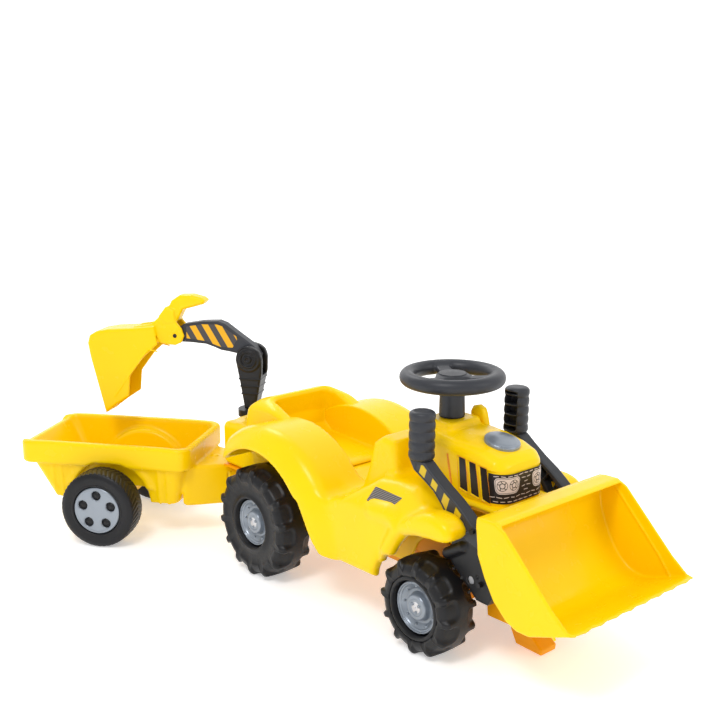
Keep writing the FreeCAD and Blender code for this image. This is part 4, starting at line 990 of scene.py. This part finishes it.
steering = skin("steering_wheel_skin", steering_depth, (-88, -88, -17), (88, 88, 15), 1.8, steering_place)
finished(steering, "steering", "dark_grey_plastic", "steering_wheel")

# ---------------------------------------------------------------------------
# Loader arms: dark grey mouldings, cored out on their inner side with ribs across. A recess on the
# outer side takes the hazard film; the faces below a slanted line are drawn in black, darker than the
# grey above, and the lower plate carries a small ram and rivet bumps.
# ---------------------------------------------------------------------------
ARM = [(352, 299), (386, 297), (404, 283), (427, 267), (452, 252), (472, 237), (486, 225), (508, 222),
       (512, 190), (520, 162), (535, 136), (520, 111), (498, 112), (476, 131), (446, 156), (440, 172),
       (449, 196), (437, 221), (423, 240), (406, 257), (385, 269), (364, 280)]
CORE = [(372, 290), (402, 278), (430, 258), (452, 242), (478, 220), (500, 214), (504, 190), (512, 158),
        (522, 138), (514, 120), (500, 120), (482, 136), (456, 160), (454, 180), (459, 198), (446, 224),
        (430, 243), (410, 262), (388, 274)]
FILM = [(368, 282.5), (370, 291), (384, 292.5), (402, 279), (425, 263), (450, 248), (469, 233), (471, 226),
        (461, 214), (452, 204), (446, 212), (440, 223.5), (425.7, 242.3), (408.3, 259.6), (387, 272.2)]
ARM_PIN = (486, 140)
ARM_INNER = 98.0
ARM_OUTER = 119.0
RIVETS = ((452, 148), (468, 138), (484, 121), (500, 150), (505, 175), (500, 205), (478, 212))


def arm_depth(x, y, z):
    """One arm, drawn on the +Y side."""
    view = outline_depth(x, z, ARM)
    plate = meet(view, slab(y, ARM_INNER, ARM_OUTER + 1.2), 2.5)
    panel = meet(outline_depth(x, z, FILM), ARM_OUTER - y)
    plate = cut(plate, panel, 1)
    core = meet(outline_depth(x, z, CORE), y - ARM_OUTER + 5)
    ribs = np.abs((x - 0.6 * z) % 26.0 - 13.0) - 1.3
    core = meet(core, -ribs)
    pin = np.hypot(x - ARM_PIN[0], z - ARM_PIN[1])
    plate = cut(plate, meet(core, 13 - pin), 1)
    ram = rod_between(x, y, z, (438, 118, 168), (470, 118, 187), 9)
    nut = rod_between(x, y, z, (470, 118, 187), (476, 118, 191), 6)
    plate = merge(plate, merge(ram, nut, 2), 2)
    for rivet_x, rivet_z in RIVETS:
        rivet = rod_between(x, y, z, (rivet_x, 119, rivet_z), (rivet_x, 121, rivet_z), 2.2)
        plate = merge(plate, rivet, 1.5)
    return cut(plate, pin - 6.1)


GRIP_FOOT = 296.0
GRIP_PITCH = 15.6
GRIP_TOP = 374.0


def striped(name, light, dark, across, phase, pitch, share):
    """A printed film with slanted stripes; across is the stripes' normal in the piece's x and z."""
    finish = Finish(name, IOR=1.49, Specular_IOR_Level=0.3)
    point, (x, _, z) = finish.place()
    along = (x * across[0] + z * across[1]) / MM - phase
    wave = abs((along / pitch % 1.0) - 0.5)
    stripe = wave.soft_step(0.5 - share / 2 - 0.012, 0.5 - share / 2 + 0.012)
    cloud = finish.noise(point, 30.0)
    pale = finish.blend(cloud, light, tuple(c * 0.9 for c in light))
    finish.feed("Base Color", finish.blend(stripe, dark, pale))
    finish.feed("Roughness", 0.34 + (finish.noise(point, 60.0) - 0.5) * 0.12)
    return finish.material


BLACK_EDGE = (460, 0, 206)
shift = rear_hub[0] / MM
arm_stripes = striped("hazard_stripes", (0.62, 0.43, 0.01), (0.036, 0.037, 0.042), (0.94, -0.33),
                      267.0 + 0.94 * shift, 28.2, 0.46)


def grip_depth(x, y, z):
    """A grip of five bulges on the +Y side, cored out towards the hood with ribs between."""
    level = (z - GRIP_FOOT) / GRIP_PITCH
    bulge = 17.6 + 2.2 * np.sqrt(np.clip(1 - (2 * (level % 1.0) - 1) ** 2, 0, 1))
    middle = 370.0 + 0.02 * (z - 330)
    post = (np.hypot((x - middle) * 0.94, y - 108.5) - bulge) * 0.9
    post = meet(post, meet(z - GRIP_TOP, GRIP_FOOT - z, 2), 7)
    pocket = meet(np.abs(x - middle) - 12.5, y - 110, 2)
    rung = np.abs((z - GRIP_FOOT - 7) % (GRIP_PITCH * 1.1) - GRIP_PITCH * 0.55) - 1.2
    pocket = meet(meet(pocket, slab(z, GRIP_FOOT + 6, GRIP_TOP - 6), 2), -rung, 1)
    return cut(post, pocket, 1)


for side_name, side in SIDES:
    mirrored = tractor @ Matrix.Diagonal((1, side, 1, 1))
    arm = skin(f"loader_arm_{side_name}_skin", arm_depth,
               (346, 92, 104), (540, 132, 304), 1.6, mirrored)
    grip = skin(f"loader_grip_{side_name}_skin", grip_depth,
                (345, 84, 290), (395, 132, 380), 1.5, mirrored)
    if side < 0:
        arm.data.flip_normals()
        grip.data.flip_normals()
    finished(arm, "loader", "dark_grey_plastic", f"loader_arm_{side_name}")
    arm.data.materials.append(finishes["black_plastic"])
    finished(grip, "loader", "dark_grey_plastic", f"loader_grip_{side_name}")
    fine = [tuple(np.array(a) + (np.array(b) - np.array(a)) * share)
            for a, b in zip(FILM, FILM[1:] + FILM[:1]) for share in (0, 0.34, 0.67)]
    points = [(x, (ARM_OUTER + 0.25) * side, z) for x, z in fine]
    print_on(f"arm_film_{side_name}", points, [list(range(len(points)))], "printed_film", "loader", tractor,
             f"loader_arm_sticker_{side_name}", material=arm_stripes)
    # Faces below a slanted line through BLACK_EDGE get the black plastic: each arm is darker towards its bottom.
    edge_x, _, edge_z = tractor @ Vector(BLACK_EDGE)
    for face in arm.data.polygons:
        face.material_index = int(face.center.z + 0.35 * (face.center.x - edge_x) < edge_z)

# ---------------------------------------------------------------------------
# Front skid: a yellow toe under the nose, given the deeper orange as painted shade. It is drawn forward
# into a flat foot just off the floor that keeps the tractor from tipping on to its bucket.
# ---------------------------------------------------------------------------
SKID = [(474, 61), (479, 26), (490, 5), (540, 3), (541, 12), (514, 34), (508, 61)]
skid = skin("front_skid_skin", lambda x, y, z: meet(outline_depth(x, z, SKID), np.abs(y) - 19, 4),
            (468, -24, 0), (546, 24, 66), 1.8, tractor)
# The skid's orange material is painted shade on a yellow part.
finished(skid, "tractor", "yellow_plastic", "front_skid", material=finishes["shaded_yellow_plastic"])

# ---------------------------------------------------------------------------
# Loader bucket: one yellow injection moulding, a curved back sheet between two side plates, with a
# folded lip along the top, a raised line inside each plate and a low wavy cutting edge.
# ---------------------------------------------------------------------------
SCOOP = [(516, 232), (517, 250), (526, 254), (553, 254), (568, 247), (614, 201), (656, 159), (684, 138),
         (699, 135), (684, 130), (617, 106), (595, 106), (575, 114), (551, 136), (533, 166), (519, 197)]
SCOOP_BACK = [(522, 236), (525, 247), (720, 262), (720, 143), (684, 134.5)]
SCOOP_BACK += [tuple(p) for p in curve([(650, 122.5), (617, 111.5), (596, 111.5), (576, 119),
                                        (554.5, 139.5), (537.5, 168), (525, 199), (521, 222)], False, 5)]
TOP_LIP = [(516, 236), (517, 253), (550, 254), (553, 250), (525, 245), (521, 234)]
EAR = [(480, 224), (517, 234), (522, 198), (536, 166), (548, 144), (500, 126), (496, 146), (512, 180),
       (500, 206), (480, 208)]
LINE = [(541, 250), (589, 200), (634, 153), (660, 118)]
BUCKET_HALF = 144.5


def bucket_depth(x, y, z):
    """The scoop with its waved cutting edge, top lip and raised lines."""
    wave = 2.6 * np.abs((y / 34.0) % 1.0 - 0.5) * 2
    side = np.abs(y)
    sheet = meet(outline_depth(x + wave * np.clip((x - 660) / 20, 0, 1), z, SCOOP), side - BUCKET_HALF, 5)
    inside = meet(outline_depth(x, z, SCOOP_BACK), side - BUCKET_HALF + 4.5, 4)
    whole = cut(sheet, inside, 2)
    lip = meet(outline_depth(x, z, TOP_LIP), side - BUCKET_HALF + 1, 3)
    whole = merge(whole, lip, 3)
    line = 1e3
    for first, second in zip(LINE, LINE[1:]):
        ends = [(spot[0], BUCKET_HALF - 4.5, spot[1]) for spot in (first, second)]
        line = np.minimum(line, rod_between(x, side, z, *ends, 2.0))
    return merge(whole, meet(line, side - BUCKET_HALF), 1.5)


def ear_depth(x, y, z):
    """The two ears that reach back from the bucket beside the arms."""
    return meet(outline_depth(x, z, EAR), slab(np.abs(y), 91.5, 97.0), 2)


bucket = skin("loader_bucket_skin", lambda x, y, z: merge(bucket_depth(x, y, z), ear_depth(x, y, z), 2),
              (476, -150, 98), (706, 150, 260), 2.2, tractor)
finished(bucket, "loader", "yellow_plastic", "loader_bucket")

# ---------------------------------------------------------------------------
# Digging arm: a black post that turns in its base, a kinked grey boom between the post's cheeks, and a
# yellow dipper, bucket and handle moulded in one.
# ---------------------------------------------------------------------------
KNUCKLE = (3.0, 340.0)
PIVOT = (-150.0, 379.0)
POST = [(-10, 237), (12, 237), (20, 270), (29, 312), (30, 340), (24, 356), (3, 366), (-18, 356), (-24, 338),
        (-20, 318), (-16, 290)]
BOOM = [(-150, 366), (-162, 379), (-150, 391), (-134, 402), (-96, 409), (-62, 411), (-48, 406), (-20, 386),
        (12, 364), (23, 346), (20, 330), (3, 320), (-16, 326), (-24, 348), (-40, 351), (-56, 353),
        (-72, 359), (-88, 364), (-120, 366)]
BOOM_PANEL = [(-130, 372), (-130, 399), (-96, 405), (-62, 406), (-50, 402), (-20, 380), (-27, 357),
              (-56, 358), (-72, 363), (-90, 369)]
DIPPER = [(-137, 366), (-131, 379), (-136, 394), (-148, 408), (-154, 428), (-164, 436), (-180, 418),
          (-198, 402), (-232, 393), (-238, 362), (-186, 364), (-166, 361), (-150, 360)]
BRIDGE = [(-166, 404), (-150, 408), (-150, 430), (-168, 436), (-182, 418)]
BUCKET_NECK = [(-188, 366), (-192, 398), (-234, 394), (-238, 364)]
DIG_OUTER = [(-190, 398), (-230, 393), (-290, 388), (-315, 383), (-330, 374), (-335, 358), (-330, 328),
             (-303, 214), (-276, 234), (-249, 252), (-244, 298), (-214, 334), (-182, 362)]
DIG_INNER = [(-176, 362), (-196, 393), (-230, 389), (-290, 384), (-313, 379), (-326, 371), (-331, 358),
             (-326, 328), (-296, 196), (-262, 196), (-236, 298), (-208, 336)]
HANDLE = [(-164, 410), (-146, 408), (-140, 420), (-134, 431), (-112, 437), (-92, 443), (-86, 450), (-94, 456),
          (-116, 461), (-140, 460), (-158, 448), (-166, 432)]


def post_depth(x, y, z):
    """The ringed post, open at the top between two round cheeks."""
    width = 15 + 8 * np.clip((z - 236) / 80, 0, 1)
    side = np.abs(y)
    post = meet(outline_depth(x, z, POST), side - width, 4)
    rings = np.abs((z - 262) % 15.0 - 7.5) - 1.1
    rings = meet(rings, slab(z, 256, 312))
    post = merge(post, meet(meet(outline_depth(x, z, POST) - 1.0, side - width - 1.0), rings), 1.5)
    slot = meet(side - 13.2, 312 - z - 0.2 * x)
    post = cut(post, slot, 1)
    knuckle = np.hypot(x - KNUCKLE[0], z - KNUCKLE[1])
    disc = meet(knuckle - 24.5, slab(side, 13.2, 25.5), 3)
    ring = meet(np.abs(knuckle - 15.5) - 2.2, slab(side, 20, 28), 1.5)
    bolt = meet(knuckle - 7.5, slab(side, 20, 29), 2)
    socket = meet(knuckle - 3.5, 27 - side)
    return cut(merge(merge(merge(post, disc, 3), ring, 1), bolt, 1), socket, 0.5)


def boom_depth(x, y, z):
    """The boom, with a recess on each side for its film."""
    side = np.abs(y)
    boom = meet(outline_depth(x, z, BOOM), side - 12.6, 4)
    panel = meet(outline_depth(x, z, BOOM_PANEL), 11.9 - side)
    knuckle = np.hypot(x - KNUCKLE[0], z - KNUCKLE[1])
    boom = cut(boom, meet(panel, 28 - knuckle), 0.8)
    return cut(boom, knuckle - 6.05)


def digger_bucket_depth(x, y, z):
    """The bucket with its notched lip, the dipper's two cheeks and the handle."""
    side = np.abs(y)
    scoop = meet(outline_depth(x, z, DIG_OUTER), side - 30.5, 6)
    scoop = cut(scoop, meet(outline_depth(x, z, DIG_INNER), side - 27.5, 3), 1.5)
    notch = meet(np.abs((y / 12.2 + 0.5) % 1.0 - 0.5) * 12.2 - 1.7, meet(z - 226, x + 288))
    scoop = cut(scoop, notch, 0.5)
    rib = rod_between(x, side, z, (-204, 30.2, 352), (-280, 30.2, 252), 1.4)
    rib = np.minimum(rib, rod_between(x, side, z, (-204, 30.2, 352), (-184, 30.2, 348), 1.4))
    scoop = merge(scoop, rib, 2)
    cheeks = meet(outline_depth(x, z, DIPPER), slab(side, 13.3, 20), 3)
    bridge = meet(outline_depth(x, z, BRIDGE), side - 20, 3)
    shoulder = meet(outline_depth(x, z, BUCKET_NECK), side - 22, 4)
    handle = meet(outline_depth(x, z, HANDLE), side - 15, 7)
    whole = merge(merge(scoop, cheeks, 5), merge(bridge, handle, 6), 4)
    whole = merge(whole, cut(shoulder, side - 13.4), 5)
    dimple = meet(np.hypot(x - PIVOT[0], z - PIVOT[1]) - 4.5, 18.5 - side)
    return cut(whole, dimple, 1)


post = skin("digger_post_skin", post_depth, (-32, -32, 230), (36, 32, 372), 1.5, digger)
finished(post, "digger_post", "black_plastic", "digger_post", "digger_boom_pin")
boom = skin("digger_boom_skin", boom_depth, (-168, -17, 314), (30, 17, 416), 1.5, digger)
finished(boom, "digger_boom", "dark_grey_plastic", "digger_boom")
BOOM_FILM = [(-128, 374), (-128, 397.5), (-96, 403.4), (-63, 404.4), (-51, 400.6), (-24, 382),
             (-22.5, 376), (-29, 366), (-32, 359.5), (-56, 359.6), (-71, 364.5), (-89, 370.5)]
film_place = digger @ Matrix.Scale(1 / MM, 4)
boom_stripes = striped("boom_stripes", (0.80, 0.42, 0.01), (0.060, 0.056, 0.060), (0.862, 0.507),
                       8.0, 24.0, 0.5)
for side_name, side in SIDES:
    film_mesh = bpy.data.meshes.new(f"boom_film_{side_name}")
    film_mesh.from_pydata([(x * MM, 12.15 * side * MM, z * MM) for x, z in BOOM_FILM], [],
                          [list(range(len(BOOM_FILM)))])
    boom_film = bpy.data.objects.new(f"boom_film_{side_name}", film_mesh)
    bpy.context.scene.collection.objects.link(boom_film)
    boom_film.matrix_world = film_place
    finished(boom_film, "digger_boom", "printed_film", *(["digger_boom_stickers"] if side > 0 else []),
             material=boom_stripes)

scoop = skin("digger_bucket_skin", digger_bucket_depth, (-341, -34, 198), (-80, 34, 466), 1.6, digger)
finished(scoop, "digger_bucket", "yellow_plastic", "digger_bucket")

# ---------------------------------------------------------------------------
# Trailer tub: one deep yellow moulding with a turned-down apron round its rim, rounded corners, a hump
# over each wheel inside, shallow pilasters on its sides and a drawbar that hooks over the hitch.
# ---------------------------------------------------------------------------
RIM = (317.0, 175.0, 106.0)
RIM_TOP = 188.0
APRON = 142.0
HUB = (307.0, 74.4)


def rounded_plan(x, y, middle, half_long, half_wide, corner):
    """Signed distance to a rounded oblong in plan."""
    along = np.abs(x - middle) - half_long + corner
    across = np.abs(y) - half_wide + corner
    outside = np.hypot(np.maximum(along, 0), np.maximum(across, 0))
    return outside + np.minimum(np.maximum(along, across), 0) - corner


def tub_depth(x, y, z):
    """The tub: rim and apron, tapered walls, wheel humps and the wedge towards the hitch."""
    x = -x
    side = np.abs(y)
    crest = RIM_TOP - 3 * np.clip((np.abs(x - RIM[0]) - 100) / 75, 0, 1) ** 2
    crest = crest - 7 * np.clip((x - 470) / 12, 0, 1) * np.clip((88 - side) / 12, 0, 1)
    crest = crest - 1.6 * (x < 160) * (1 + np.cos(y * 0.55)) * np.clip((86 - side) / 8, 0, 1)
    rim = meet(rounded_plan(x, y, *RIM, 26), meet(z - crest, APRON - z, 2), 7)
    drop = np.clip((APRON + 10 - z) / 80, 0, 1)
    lower = rounded_plan(x, y, 315 - 13 * drop, 160 - 30 * drop, 98 - 8 * drop, 20) * 0.93
    lower = meet(lower, meet(z - 184, 70 - z, 4), 8)
    pilasters = 1.5 * sum(np.clip(3 - np.abs(np.abs(x - HUB[0]) - reach), 0, 1) for reach in (118, 100))
    lower = lower - pilasters * (side > 60) * (z < 140) * 0.6
    whole = merge(rim, lower, 3)
    under = meet(rounded_plan(x, y, RIM[0], RIM[1] - 4.5, RIM[2] - 4.5, 22), 4 - lower)
    under = meet(under, z - crest + 8)
    whole = cut(whole, under, 1)
    fall = np.clip((RIM_TOP - z) / 80, 0, 1)
    cavity = rounded_plan(x, y, 316 - 8 * fall, 161 - 30 * fall, 91 - 8 * fall, 16) * 0.93
    whole = cut(whole, meet(cavity, 108 - z, 8), 6)
    belly = meet(rounded_plan(x, y, 302, 124, 84, 16), meet(z - 104, 40 - z))
    whole = cut(whole, belly, 2)
    nose = meet(slab(x, 54, 166), side - 28 - (x - 54) * 0.47, 12)
    nose = meet(nose, meet(z - 145 - (x - 92) * 0.02, 64 - z), 9)
    nose = meet(nose, z - 126 - (x - 54) * 0.5, 10)
    nose = cut(nose, meet(nose + 4, 62 - z), 1)
    nose = merge(nose, meet(np.hypot(x - 124, y) - 7, slab(z, 140, 149), 3), 4)
    nose = cut(nose, meet(side - 14.6, meet(z - 120.6, x - 150)))
    nose = cut(nose, meet(side - 34.4, meet(z - 120.4, 140 - x)))
    whole = merge(whole, nose, 5)
    hub = np.hypot(x - HUB[0], z - HUB[1])
    hump = meet(hub - 92, slab(side, 74, 96), 9)
    whole = merge(whole, meet(hump, 104 - z), 9)
    return cut(whole, meet(meet(hub - 80, 84 - side, 3), z - 150), 3)


def drawbar_depth(x, y, z):
    """The bar that runs from the front board to the eye, with its post and round knob."""
    bar = meet(meet(slab(x, -196, 4), np.abs(y) - 14, 4), slab(z, 108, 120), 3)
    eye = meet(np.hypot(x, y) - 17, slab(z, 107, 121), 3)
    foot = meet(meet(slab(x, -196, -150), np.abs(y) - 33.8, 6), slab(z, 96, 119.5), 4)
    return cut(merge(merge(bar, eye, 4), foot, 5), np.hypot(x, y) - 7.05)


tub = skin("trailer_tub_skin", tub_depth, (-498, -112, 60), (-48, 112, 194), 2.8, trailer)
finished(tub, "trailer", "yellow_plastic", "trailer_tub")
drawbar = skin("trailer_drawbar_skin", drawbar_depth, (-202, -38, 92), (22, 38, 126), 2.0, trailer)
finished(drawbar, "trailer", "yellow_plastic", "trailer_tongue")
